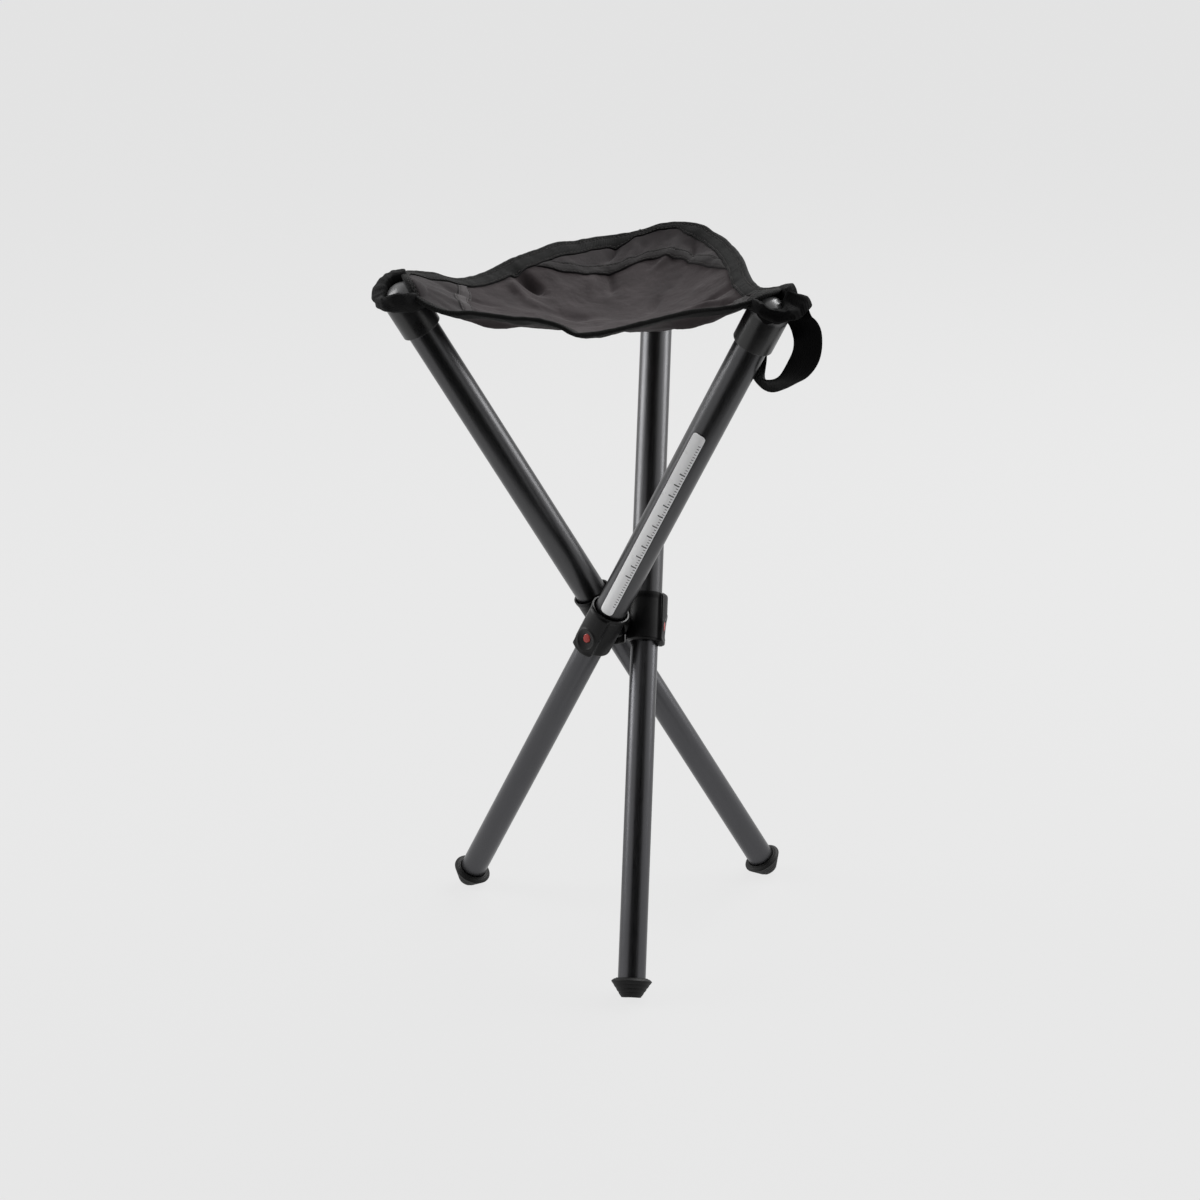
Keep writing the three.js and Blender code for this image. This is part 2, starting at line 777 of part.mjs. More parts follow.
function addPart(parent, name, geometry, finish) {
  const mesh = new THREE.Mesh(geometry, finish);
  mesh.name = name;
  parent.add(mesh);
  return mesh;
}

function legGroup(leg) {
  const turnedGroup = new THREE.Group();
  turnedGroup.rotation.z = THREE.MathUtils.degToRad(legAzimuths[leg]);
  const tilted = new THREE.Group();
  tilted.position.set(legOffset, 0, hubHeight);
  tilted.rotation.x = -legTilt;
  turnedGroup.add(tilted);
  frame.add(turnedGroup);
  return tilted;
}

const shared = {
  collar: [collar(), finishes.plastic],
  upper_tube: [upperTube(), finishes.upperTube],
  end_cap: [endCap(), finishes.cap],
  corner_pocket: [cornerPocket(), finishes.webbing],
  push_button: [pushButton(), finishes.button],
  button_spring: [buttonSpring(), finishes.steel],
  lower_tube: [lowerTube(), finishes.lowerTube],
  guide_bush: [guideBush(), finishes.guide],
  lock_clip: [lockClip(), finishes.steel],
  foot: [foot(), finishes.rubber],
  pivot_rivet: [pivotRivet(), finishes.steel],
};

legNames.forEach((name, leg) => {
  const group = legGroup(leg);
  Object.entries(shared).forEach(([part, [geometry, finish]]) => {
    addPart(group, `${part}_${name}`, geometry.clone(), finish);
  });
  addPart(frame, `edge_binding_${name}`, edgeBinding(leg), finishes.webbing);
  if (name === 'a') {
    addPart(group, 'label', label(), finishes.label);
    addPart(group, 'carry_strap', carryStrap(), finishes.webbing);
  }
});

addPart(frame, 'hub', hub(), finishes.plastic).position.z = hubHeight;
addPart(frame, 'seat_sling', seatSling(), finishes.cloth);

// The origin is the middle of the overall box's underside
stool.add(frame);
stool.updateMatrixWorld(true);
const box = new THREE.Box3().setFromObject(stool, true);
const middle = box.getCenter(new THREE.Vector3());
frame.position.set(-middle.x, -middle.y, -box.min.z);

export default stool;
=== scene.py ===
import functools
import json
import math

import bmesh
import bpy
import numpy as np
from mathutils import Matrix, Vector


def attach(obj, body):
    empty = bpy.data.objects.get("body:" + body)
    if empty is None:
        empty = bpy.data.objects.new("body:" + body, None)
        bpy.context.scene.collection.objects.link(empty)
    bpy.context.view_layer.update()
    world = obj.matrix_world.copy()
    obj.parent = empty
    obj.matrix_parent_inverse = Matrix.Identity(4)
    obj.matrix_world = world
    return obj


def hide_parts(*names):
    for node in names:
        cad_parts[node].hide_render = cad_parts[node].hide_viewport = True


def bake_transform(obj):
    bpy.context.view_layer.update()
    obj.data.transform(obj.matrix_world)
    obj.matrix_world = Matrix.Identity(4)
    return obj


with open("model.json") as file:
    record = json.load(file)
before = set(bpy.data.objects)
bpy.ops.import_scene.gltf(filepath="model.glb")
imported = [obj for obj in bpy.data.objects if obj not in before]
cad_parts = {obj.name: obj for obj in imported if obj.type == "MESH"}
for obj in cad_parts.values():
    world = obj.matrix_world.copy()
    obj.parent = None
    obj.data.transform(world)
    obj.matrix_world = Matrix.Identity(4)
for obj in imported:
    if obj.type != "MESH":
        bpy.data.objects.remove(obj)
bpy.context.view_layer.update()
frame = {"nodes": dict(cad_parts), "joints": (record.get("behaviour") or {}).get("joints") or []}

# Lengths are in millimetres until a mesh is made: Blender's own are metres.
MM = 0.001
LEGS = ("a", "b", "c")

# Legs: heights along a leg are measured from its pivot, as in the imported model
UPPER_RADIUS, UPPER_BORE, UPPER_LOW, UPPER_HIGH = 12.2, 10.95, -9.0, 300.5
LOWER_RADIUS, LOWER_BORE, LOWER_LOW, LOWER_HIGH = 10.45, 9.35, -272.0, 26.0
TUBE_STEPS, FILLET_STEPS = 96, 4

# Collar
COLLAR_RADIUS, COLLAR_BORE, COLLAR_MOUTH, COLLAR_THROAT = 14.4, 12.5, 13.6, 10.95
COLLAR_TOP, COLLAR_FLOOR, COLLAR_BOTTOM = 22.5, -9.3, -14.2
COLLAR_FLARE, FLARE_HEIGHT = 0.55, 2.6
COLLAR_TURNS = (-180, 180, -20, 20, 1.1, 0.4)
COLLAR_ROWS, COLLAR_LAST_ROWS = (0, 0.97, 0.36, 0.73, 0.012, 0.0045), (0.98, 0.988, 0.994, 0.998, 1.0)
PANEL_HALF, PANEL_CORNER, PANEL_EDGE, PANEL_FOOT = 9.6, 2.6, 2.0, 1.1
SEAM_PLACE, SEAM_WIDTH, SEAM_DEPTH, SEAM_TURN = 13.3, 0.25, 0.4, 60
LIP_DROP, LIP_START, LIP_RUN, LIP_ROUND, LIP_CURVE = 3.5, 9.2, 5.4, 1.4, 1.7
# From the wall's lower edge to the throat: share of the way out, and height
LIP_ROWS = ((0.9, -0.35), (0.6, -0.5), (0.0, -0.5))
# Down the panel's middle: height, distance from the tube's axis and crown to its edges
PANEL = (
    (-17.4, 15.3, 1.8), (-15, 15.7, 1.6), (-12, 15.2, 1.2), (-9, 14.8, 0.6), (-6, 14.9, 0.5), (-3, 15.3, 0.8),
    (0, 15.9, 1.4), (3, 16.4, 2.2), (8, 16.8, 2.9), (22.5, 16.8, 3.2),
)
DISH_WIDTH, DISH_HEIGHT, DISH_DROP, DISH_DEPTH, DISH_FLOOR = 7.4, 9.0, 3.6, 1.35, 0.2
DISH_EDGE, DISH_RIDGE, RIDGE_PLACE, RIDGE_WIDTH = 11.0, 0.45, 1.03, 0.13
BOSS_RADIUS, BOSS_REACH, BOSS_SIDE = 9.5, 15.0, -0.3

# Button
BUTTON_DROP, BUTTON_WIDTH, BUTTON_HEIGHT = 2.2, 3.0, 4.0
BUTTON_CROWN, BUTTON_DOME, DOME_POWERS = 15.5, 0.9, (0.8, 0.9)
BUTTON_SEAT, BUTTON_FLANGE, FLANGE_THICKNESS = 12.9, 0.9, 0.4
NOSE_RADIUS, NOSE_TIP = 2.4, 12.0
BUTTON_PLAY, SLOT_DEPTH = 0.25, 0.75

# Hub
HUB_FLAT, HUB_CORNER, HUB_BORE, HUB_BORE_DEPTH = 6.7, 9.6, 2.5, 1.5
HUB_LOW, HUB_HIGH, HUB_TAPER, HUB_ROUND = -15.5, 11.0, 3.5, 0.9
HUB_STEPS, HUB_TAPER_ROWS, HUB_ROWS = 288, 9, 40

# End cap and foot
CAP_RIM, CAP_SHOULDER, CAP_TOP = 279.0, 304.0, 317.0
CAP_RADIUS, CAP_BORE, CAP_SEAT, CAP_FLOOR = 15.0, 12.5, 300.8, 2.0
CAP_STEM, CAP_STEM_BORE, CAP_STEM_LOW = 10.65, 8.25, 285.8
FOOT_TOP, FOOT_TIP = -269.7, -283.9
FOOT_FLANGE, FOOT_TOP_RADIUS, FOOT_TIP_RADIUS, FOOT_TIP_ROUND = 15.2, 12.65, 7.4, 0.3
FOOT_CHAMFER, FOOT_SEAT = 2.1, -272.3
FOOT_HOLE, FOOT_STEM, FOOT_BORE, FOOT_STEM_TOP = 10.75, 9.05, 5.0, -251.7
FOOT_RING, FOOT_RIB, FOOT_RIBS, FOOT_ROWS, FOOT_LIP = 0.55, 0.3, 4, 73, 0.5

# Label: a film on the upper tube of leg a, from its start up the leg
LABEL_WIDTH, LABEL_LENGTH, LABEL_START, LABEL_TURN = 12.3, 177.0, 24.0, 13.0
LABEL_LIFT, LABEL_THICKNESS, LABEL_CORNER, LABEL_ROWS, LABEL_COLUMNS = 0.1, 0.2, 4.0, 120, 16
LABEL_MARGIN, LABEL_LINE = 1.6, 0.8
# Graduation ticks: pitch, length and half width
LABEL_TICKS = ((2.5, 3.4, 0.288), (10.0, 6.0, 0.504))
LABEL_SILVER, LABEL_INK = (0.9, 0.9, 0.905), (0.015, 0.015, 0.018)

# Seat. Knots go round the hub's axis: azimuth in degrees, radius and height.
SEAT_FLOOR, SEAT_POWER = 483.0, 2.1
DOME_CLEARANCE, DOME_BLEND = 1.9, 3.0
CORNERS = {"a": 321.0, "b": 81.0, "c": 201.0}
PETAL_HALF = 60
RIM = (
    (8, 101, 515), (27.2, 105, 519), (45, 118, 522), (53, 127, 524), (60.7, 138, 525),
    (67, 145.5, 528.5), (72, 147, 529.5), (80.4, 147, 527.5), (87, 136, 524), (94.4, 133, 521),
    (101.9, 128, 520), (109.2, 120, 520), (117, 115, 521), (126, 109, 519), (141.6, 104.5, 516),
    (154, 105, 512), (167.2, 110, 510.5), (176, 117, 513), (184, 131, 520.5), (190, 143, 525),
    (201, 152, 526.5), (208, 149, 516.5), (214, 137, 508.5), (222, 121, 508), (232, 106, 506),
    (243, 96, 505), (253, 91, 501), (260.6, 89.5, 495), (268, 91, 496), (283, 98, 502),
    (294.6, 110.5, 509), (303.2, 126, 515.5), (312, 148, 520.5), (321, 157, 527),
    (330, 150, 525.5), (340.6, 122, 517), (354, 106, 515),
)
RIM_AZIMUTH, RIM_RADIUS, RIM_HEIGHT = zip(*RIM)
CLOTH = 1.2
PETAL_COLUMNS, PETAL_ROWS = 221, 111
# Unevenness of the cloth: height, size of the bumps and seed. It fades towards the rim,
# but the fine one doesn't.
WAVER = ((1.4, 34, 1), (0.75, 15, 2))
FINE_WAVER = ((0.22, 6, 3), (0.1, 2.6, 4))
# Pulls that fan out from the corners: height, number round a turn, the corner's distance,
# and from the corner their place and width
PULL_HEIGHT, PULL_COUNT, PULL_MIDDLE, PULL_PLACE, PULL_WIDTH = 0.55, 15, 150, 46, 26
SLOPE_STEP = 0.6
# Folds pressed into the cloth: points as radius and azimuth, then height and half width
FOLD_SCALE, FOLD_STEPS = 2.3, 14
FOLDS = (
    (((129, 94), (116, 95), (103, 99)), -1.8, 3.4),
    (((134, 88), (118, 87), (100, 90)), 1.1, 3.5),
    (((137, 67), (122, 64), (106, 62)), -1.4, 4.0),
    (((130, 74), (112, 73), (96, 77)), 1.0, 4.0),
    (((60, 160), (38, 158), (22, 118)), -1.4, 8.0),
    (((73, 164), (52, 160), (45, 154)), 1.2, 6.0),
    (((95, 146), (83, 144), (70, 145)), -4.0, 6.0),
    (((90, 152), (80, 157), (68, 160)), 1.5, 5.0),
    (((92, 104), (74, 107), (58, 112)), 0.9, 4.0),
    (((94, 97), (78, 96), (62, 96)), -1.1, 3.6),
    (((60, 60), (46, 52), (34, 40)), -1.3, 4.2),
    (((112, 344), (96, 346), (74, 352)), -1.7, 4.2),
    (((104, 336), (86, 337), (64, 340)), 1.2, 4.5),
    (((82, 353), (66, 358), (50, 4)), 1.4, 5.0),
    (((96, 8), (76, 6), (58, 1)), -1.3, 5.0),
    (((128, 190), (108, 188), (84, 184)), -1.1, 4.5),
    (((124, 212), (102, 214), (78, 222)), -1.3, 5.0),
    (((126, 311), (104, 308), (76, 300)), -1.3, 5.0),
    (((88, 240), (66, 236), (46, 226)), 1.0, 6.0),
    (((84, 280), (62, 284), (40, 292)), 0.9, 6.0),
)

# Pocket panels: degrees from the corner and share of the rim's radius along the mouth
MOUTHS = {
    "b": ((-57, 0.93), (-39, 0.84), (-24, 0.77), (-10, 0.75), (1, 0.76), (12, 0.69), (24, 0.7), (41, 0.78),
          (56, 0.93)),
    "c": ((-29, 0.97), (-24, 0.93), (-20, 0.82), (-13, 0.73), (1, 0.68), (13, 0.7), (21, 0.78), (27, 0.88),
          (31, 0.95)),
    "a": ((-31, 0.95), (-27, 0.88), (-21, 0.78), (-13, 0.7), (-1, 0.68), (13, 0.73), (20, 0.82), (25, 0.92),
          (30, 0.96)),
}
MOUTH_PASSES = 60
PANEL_COLUMNS, PANEL_ROWS = 200, 34
PANEL_LIFT, PANEL_TUCK, PANEL_SUNK, PANEL_WAVER = 0.9, 3.0, 0.75, (0.15, 9, 8)
BAND, BAND_LIFT = 10.0, 0.6
BAND_STEPS = (
    0.0, 0.15, 0.4, 0.7, 1.0, 1.4, 1.8, 2.4, 3.2, 4.2, 5.2, 6.2, 7.2, 7.9, 8.4, 8.9, 9.5, 9.9, 10.3, 10.8,
)
STITCH_ROWS, STITCH_GROOVE, GROOVE_WIDTH = (1.6, 8.4), 0.4, 0.7
STITCH_PITCH, STITCH_LENGTH, STITCH_WIDTH, STITCH_SIDES = 3.3, 2.3, 0.55, 6
STITCH_SHARES = (0.0, 0.15, 0.5, 0.85, 1.0)

# Hem: shares of its width from the inner edge over the rim, and back below
HEM_WIDTH, HEM_LIFT, HEM_DROP, HEM_COLUMNS = 11.0, 1.5, 0.8, 260
HEM_TOP_ROWS = (1.0, 0.97, 0.86, 0.78, 0.6, 0.42, 0.24, 0.16, 0.06)
HEM_UNDER_ROWS = (0.2, 0.5, 0.8, 0.95, 1.0)
HEM_STITCHES, HEM_GROOVE, HEM_GROOVE_WIDTH = (0.16, 0.86), 0.45, 0.05
HEM_WAVER, HEM_EDGE_WAVER, HEM_RADIUS = 0.22, 0.35, 115.0
NECK_WIDTH, NECK_TURNS = {"a": 9.0, "b": 5.0, "c": 3.0}, (6, 12)

# Corner pocket
POCKET_RADIUS, BAND_COLUMNS, BAND_CLEARANCE, WALL_PASSES = 18.0, 220, 1.6, 10
# The pocket's outer wall from its lower edge to the rolled top: radius, share of the height
BAND_SECTION = (
    (16.0, 0.0), (16.9, 0.02), (17.6, 0.1), (18.2, 0.22), (18.6, 0.36), (18.7, 0.5), (18.6, 0.64),
    (18.4, 0.78), (18.1, 0.88), (17.7, 0.95), (17.0, 1.0),
)
ROLL_STEPS = (0.12, 0.3, 0.5, 0.7, 0.86, 0.96, 1.0)
# Round each cap: degrees from its leg's own X axis, height of the wall's foot and top,
# its bulge, and how far its top leans in over the dome
BAND_WALLS = {
    "a": ((-80, 298, 306, -0.5, 1), (-62, 300, 310, -0.5, 2), (-45, 303, 313.5, -0.3, 3),
          (-15, 307, 316.5, 0, 3), (0, 308.5, 317.5, 0, 2), (30, 308.5, 318, 0.4, 1.5),
          (45, 308, 319.5, 0.8, 2), (60, 308.5, 321, 1.2, 4), (75, 311, 322, 2.0, 8),
          (90, 313, 323, 3.0, 11), (105, 316, 326, 4.6, 12), (118, 318, 329, 5.6, 12),
          (130, 318, 329, 4.8, 12), (142, 315, 323, 2.2, 11), (155, 312, 321, 0.4, 10),
          (172, 311, 325, 0.8, 9), (188, 310, 326.5, 0.6, 8), (205, 308, 321, 0, 6),
          (235, 305, 316, -0.5, 3), (255, 300, 313, -0.5, 1)),
    "b": ((-85, 299, 312, 0, 1), (-50, 300, 315, 3, 2), (-22, 301, 318.5, 8, 3), (5, 302, 319, 9, 5),
          (30, 303, 318, 5, 6), (55, 304, 317.5, 1, 5), (90, 305, 317, 0.4, 5), (140, 303, 315, 0.2, 4),
          (180, 300, 315, 0.2, 3), (240, 296, 310, 0, 1)),
    "c": ((-85, 298, 315, -0.5, 2), (-60, 300, 319.5, -0.3, 4), (-30, 302, 322, 0, 6),
          (0, 305, 322.5, 0.2, 8), (45, 308, 321.5, 0.5, 9), (75, 307.5, 319.5, 0.7, 8),
          (95, 307.5, 318.5, 0.9, 5), (120, 306, 318.5, 0.9, 2), (150, 302.5, 318.5, 0.7, 1),
          (165, 300, 317.5, 0.6, 1), (180, 298, 315, 0.6, 1), (195, 297, 311.5, 0.9, 1),
          (210, 296, 308, 1.4, 1), (225, 295, 304, 1.8, 0), (245, 294, 300, 0.8, 0)),
}

# Strap: its middle line and its width direction, in leg a's frame
STRAP_WIDTH, STRAP_THICKNESS, STRAP_STEPS = 20.0, 1.6, 90
STRAP = (
    (-11, 15, 312, 0, 0.1, 1), (-12.4, 19.5, 309, 0, 0.4, 0.9), (-13.5, 28.5, 303, -0.6, 0.67, 0.44),
    (-13.7, 34.5, 289, -0.56, 0.83, 0.06), (-11.6, 33.4, 271, -0.83, 0.53, 0.17),
    (-12.4, 25.4, 257.9, -0.87, 0.33, -0.37), (-14.2, 16.2, 252.4, -0.6, -0.06, -0.8),
    (-17.2, 3.8, 257.1, -0.16, -0.54, -0.83), (-16.9, -5.6, 268.4, 0.35, -0.76, -0.55),
    (-15.6, -9, 285, 0.63, -0.62, -0.47), (-14.5, -9, 300, 0.5, -0.87, 0),
)
# Upper half of its section, in halves of its width and thickness
STRAP_SECTION = (
    (-1, 0), (-0.97, 0.7), (-0.85, 1), (-0.5, 0.94), (0, 0.9), (0.5, 0.94), (0.85, 1), (0.97, 0.7), (1, 0),
)

# Camera and stage. Places are in millimetres, turns in degrees, lamps and cards in metres.
CAMERA_PLACE = (214.3, -1846.5, 910.65)
CAMERA_YAW, CAMERA_PITCH, CAMERA_ROLL = -6.9676, 19.1877, -1.1975
CAMERA_LENS, CAMERA_SENSOR, CAMERA_SHIFT, CAMERA_END = 76.8, 36.0, (-0.00197, -0.00045), 200.0
FLOOR_REACH, FLOOR_SIDES = 60.0, 96
BACKDROP, FILL = (0.791, 0.791, 0.791), (0.22, 0.22, 0.22)
FLOOR_LIT, FLOOR_GLOW, FLOOR_PLAIN = (0.035, 0.035, 0.035), (0.762, 0.762, 0.762), (0.6, 0.6, 0.6)
CARD_COLOR, CARD_TURNS, CARD_COLUMNS = (0.02, 0.02, 0.02), (-38, 46), 24
CARD_NEAR, CARD_FAR, CARD_LOW, CARD_HIGH = 0.42, 2.6, 0.004, 3.4
# Lamps: turn from the camera, distance, height, width, length and watts
LAMPS = {
    "top_lamp": (146, 1.7, 2.0, 1.7, 1.2, 54.0),
    "left_lamp": (-102, 1.9, 1.3, 1.0, 2.0, 38.0),
    "right_lamp": (102, 1.9, 1.3, 0.8, 2.0, 30.0),
}
LAMP_TARGET = (0, 0, 0.3)


def leg_frames():
    """Pivot and axes of each leg: x out through the pivot, z up the leg, y across them."""
    joints = {joint["name"]: joint for joint in frame["joints"]}
    found = {}
    for name in LEGS:
        hinge = joints[f"fold_{name}"]
        across = np.array(hinge["axis"], float)
        along = np.array(joints[f"telescope_{name}"]["axis"], float)
        pivot = np.array(hinge["pos_m"], float) / MM
        found[name] = (pivot, np.array([across, np.cross(along, across), along]))
    return found


LEG_FRAMES = leg_frames()
HUB = sum(LEG_FRAMES[name][0] for name in LEGS) / len(LEGS)
HUB_LEVEL = np.array([HUB[0], HUB[1], 0.0])


def on_leg(leg, local):
    """Points of a leg's own frame, moved to the stool's frame."""
    pivot, axes = LEG_FRAMES[leg]
    return pivot + np.asarray(local, float) @ axes


# Meshes


def linked(name, data):
    """An object in the scene's own collection."""
    made = bpy.data.objects.new(name, data)
    bpy.context.scene.collection.objects.link(made)
    return made


def piece(name, points, faces, finish, place=None, sharp=None, hints=None):
    """A smooth-shaded object from points in millimetres; its finish reads the place of each point."""
    mesh = bpy.data.meshes.new(name)
    mesh.from_pydata((np.asarray(points, float) * MM).tolist(), [], [list(face) for face in faces])
    carried = {"place": points if place is None else place}
    if hints is not None:
        carried["normal_hint"] = hints
    for key, values in carried.items():
        layer = mesh.attributes.new(key, "FLOAT_VECTOR", "POINT")
        layer.data.foreach_set("vector", np.asarray(values, np.float32).ravel())
    tidy = bmesh.new()
    tidy.from_mesh(mesh)
    bmesh.ops.remove_doubles(tidy, verts=tidy.verts, dist=1e-7)
    bmesh.ops.recalc_face_normals(tidy, faces=tidy.faces)
    tidy.to_mesh(mesh)
    tidy.free()
    mesh.materials.append(FINISHES[finish])
    mesh.shade_smooth()
    if sharp:
        mesh.set_sharp_from_angle(angle=math.radians(sharp))
    if hints is not None:
        # Shaded by the normals that its points carry, so that neighbours meet unseen
        kept = np.zeros(len(mesh.vertices) * 3, np.float32)
        mesh.attributes["normal_hint"].data.foreach_get("vector", kept)
        mesh.attributes.remove(mesh.attributes["normal_hint"])
        mesh.normals_split_custom_set_from_vertices(kept.reshape(-1, 3).tolist())
    made = linked(name, mesh)
    return made


def dressed(made, body, *nodes):
    """A piece that moves with a body and stands for CAD nodes."""
    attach(made, body)
    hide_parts(*nodes)


def grid_faces(rows, columns, wrap_rows=False, wrap_columns=False, first=0):
    """Quads over a grid of points that is stored row by row."""
    last_row = rows if wrap_rows else rows - 1
    last_column = columns if wrap_columns else columns - 1
    r, c = np.meshgrid(np.arange(last_row), np.arange(last_column), indexing="ij")
    below, right = (r + 1) % rows, (c + 1) % columns
    corners = [r * columns + c, r * columns + right, below * columns + right, below * columns + c]
    return (np.stack(corners, -1).reshape(-1, 4) + first).tolist()


def end_rows(rows, columns, first=0):
    """Two faces that close the first and last row of a grid."""
    last = first + (rows - 1) * columns
    return [tuple(range(first, first + columns)), tuple(range(last, last + columns))[::-1]]


def end_columns(rows, columns):
    """Two faces that close the first and last column of a grid."""
    size = rows * columns
    return [tuple(range(0, size, columns)), tuple(range(columns - 1, size, columns))[::-1]]


def strip_faces(rows, columns):
    """Faces of a closed sheet: a grid of top points, then the same grid of under points."""
    size = rows * columns
    under = [face[::-1] for face in grid_faces(rows, columns, first=size)]
    border = [r * columns for r in range(rows)] + [(rows - 1) * columns + c for c in range(1, columns)]
    border += [r * columns + columns - 1 for r in range(rows - 2, -1, -1)] + list(range(columns - 2, 0, -1))
    walls = [(here, after, after + size, here + size) for here, after in zip(border, border[1:] + border[:1])]
    return grid_faces(rows, columns) + under + walls


def filleted(profile, radius, closed=True):
    """A profile with its corners rounded by short arcs."""
    points = [np.array(p, float) for p in profile]
    rounded = []
    for i, corner in enumerate(points):
        if not closed and i in (0, len(points) - 1):
            rounded.append(corner)
            continue
        ways = [near - corner for near in (points[i - 1], points[(i + 1) % len(points)])]
        reach = min(radius, *(np.linalg.norm(way) * 0.45 for way in ways))
        start, end = (corner + way / np.linalg.norm(way) * reach for way in ways)
        for t in np.linspace(0, 1, FILLET_STEPS + 1):
            rounded.append((1 - t) ** 2 * start + 2 * t * (1 - t) * corner + t * t * end)
    return np.array(rounded)


def full_turn(steps):
    return np.linspace(0, 2 * math.pi, steps, endpoint=False)


def ring(radius, turn, height):
    """Points round the Z axis; each of the three may be one value or one for each turn."""
    return np.stack(np.broadcast_arrays(radius * np.cos(turn), radius * np.sin(turn), height), -1)


def revolved(profile, closed=True):
    """Points and faces of a profile of radii and heights that is turned about Z."""
    points = ring(profile[:, 0][:, None], full_turn(TUBE_STEPS), profile[:, 1][:, None])
    faces = grid_faces(len(profile), TUBE_STEPS, wrap_rows=closed, wrap_columns=True)
    return points.reshape(-1, 3), faces


def smooth_step(value, low, high):
    share = np.clip((value - low) / (high - low), 0, 1)
    return share * share * (3 - 2 * share)


def smooth_max(a, b, width):
    """The larger of two radii, with the step between them rounded over."""
    share = np.clip(0.5 + 0.5 * (a - b) / width, 0, 1)
    return b + (a - b) * share + width * share * (1 - share)


def smooth_min(a, b, width):
    return -smooth_max(-a, -b, width)


def smooth_line(values, passes):
    """Values along a line, each averaged with its neighbours over and over."""
    for _ in range(passes):
        values = np.concatenate([values[:1], (values[:-2] + 2 * values[1:-1] + values[2:]) / 4, values[-1:]])
    return values


def hermite(t, span, start, end, start_slope, end_slope):
    """A smooth curve between two values with given slopes, at a share t of the span."""
    curve = (2 * t**3 - 3 * t**2 + 1) * start + (t**3 - 2 * t**2 + t) * span * start_slope
    return curve + (3 * t**2 - 2 * t**3) * end + (t**3 - t**2) * span * end_slope


def smooth_curve(where, knots, values, period=360.0):
    """A closed smooth curve through values at rising knots."""
    knots, values = np.asarray(knots, float), np.asarray(values, float)
    knots = np.concatenate([knots[-2:] - period, knots, knots[:2] + period])
    values = np.concatenate([values[-2:], values, values[:2]])
    slopes = np.gradient(values, knots)
    where = np.mod(np.asarray(where, float) - knots[2], period) + knots[2]
    i = np.clip(np.searchsorted(knots, where, side="right") - 1, 1, len(knots) - 3)
    span = knots[i + 1] - knots[i]
    return hermite((where - knots[i]) / span, span, values[i], values[i + 1], slopes[i], slopes[i + 1])


def lengths_to(line):
    """Length along a line up to each of its points."""
    return np.concatenate([[0], np.cumsum(np.linalg.norm(np.diff(line, axis=0), axis=1))])


def spline(points, count):
    """A smooth open curve through a few points, at even steps along its length."""
    points = np.asarray(points, float)
    slopes = np.gradient(points, axis=0)
    at = np.linspace(0, len(points) - 1, 24 * len(points))
    i = np.clip(at.astype(int), 0, len(points) - 2)
    line = hermite((at - i)[:, None], 1, points[i], points[i + 1], slopes[i], slopes[i + 1])
    far = lengths_to(line[:, :3])
    even = np.linspace(0, far[-1], count)
    return np.stack([np.interp(even, far, column) for column in line.T], -1)


def soft_noise(x, y, size, seed):
    """Smooth noise from -1 to 1, with bumps of about a size in millimetres."""
    lattice = np.random.default_rng(seed).uniform(-1, 1, (64, 64))
    u, v = x / size + 31.7, y / size + 17.3
    i, j = np.floor(u).astype(int), np.floor(v).astype(int)
    s, t = smooth_step(u - i, 0, 1), smooth_step(v - j, 0, 1)
    near = lattice[i % 64, j % 64] * (1 - t) + lattice[i % 64, (j + 1) % 64] * t
    far = lattice[(i + 1) % 64, j % 64] * (1 - t) + lattice[(i + 1) % 64, (j + 1) % 64] * t
    return near * (1 - s) + far * s


# Finishes

CLOTH_ROUGHNESS = 0.85
# Colour of the painted highlight on the caps' domes
PAINTED_HIGHLIGHT_COLOR = (0.11, 0.11, 0.112)


class Nodes:
    """A node tree, with short calls for the nodes that the finishes and the stage use."""

    def __init__(self, owner, bare=False):
        owner.use_nodes = True
        self.tree = owner.node_tree
        if bare:
            self.tree.nodes.clear()

    def add(self, kind, inputs=None, **settings):
        """A shader node with its settings; an input is a value or another node's output."""
        made = self.tree.nodes.new("ShaderNode" + kind)
        for key, value in settings.items():
            setattr(made, key, value)
        for key, value in (inputs or {}).items():
            if isinstance(value, bpy.types.NodeSocket):
                self.tree.links.new(value, made.inputs[key])
            else:
                made.inputs[key].default_value = value
        return made

    def math(self, operation, a, b=0.0):
        return self.add("Math", {0: a, 1: b}, operation=operation).outputs[0]

    def plus(self, a, b):
        return self.math("ADD", a, b)

    def minus(self, a, b):
        return self.math("SUBTRACT", a, b)

    def times(self, a, b):
        return self.math("MULTIPLY", a, b)

    def between(self, factor, low, high, start=0.0, end=1.0):
        """A factor mapped onto a range."""
        inputs = {"Value": factor, "From Min": start, "From Max": end, "To Min": low, "To Max": high}
        return self.add("MapRange", inputs).outputs[0]

    def mix(self, factor, a, b):
        """A colour between two, by a factor; each is a colour or another node's output."""
        a, b = (c if isinstance(c, bpy.types.NodeSocket) else (*c, 1) for c in (a, b))
        return self.add("Mix", {"Factor": factor, "A": a, "B": b}, data_type="RGBA").outputs["Result"]

    def one_color(self, kind, color):
        """A shader of one colour, for the stage."""
        return self.add(kind, {"Color": (*color, 1)}).outputs[0]

    def shown_or_lit(self, output, shown, lit):
        """One shader for rays straight from the camera or by gloss or glass, and another for the rest."""
        path = self.add("LightPath").outputs
        total = self.plus(path["Is Camera Ray"], path["Is Glossy Ray"])
        direct = self.math("MINIMUM", self.plus(total, path["Is Transmission Ray"]), 1.0)
        self.add(output, {0: self.add("MixShader", {0: direct, 1: lit, 2: shown}).outputs[0]})


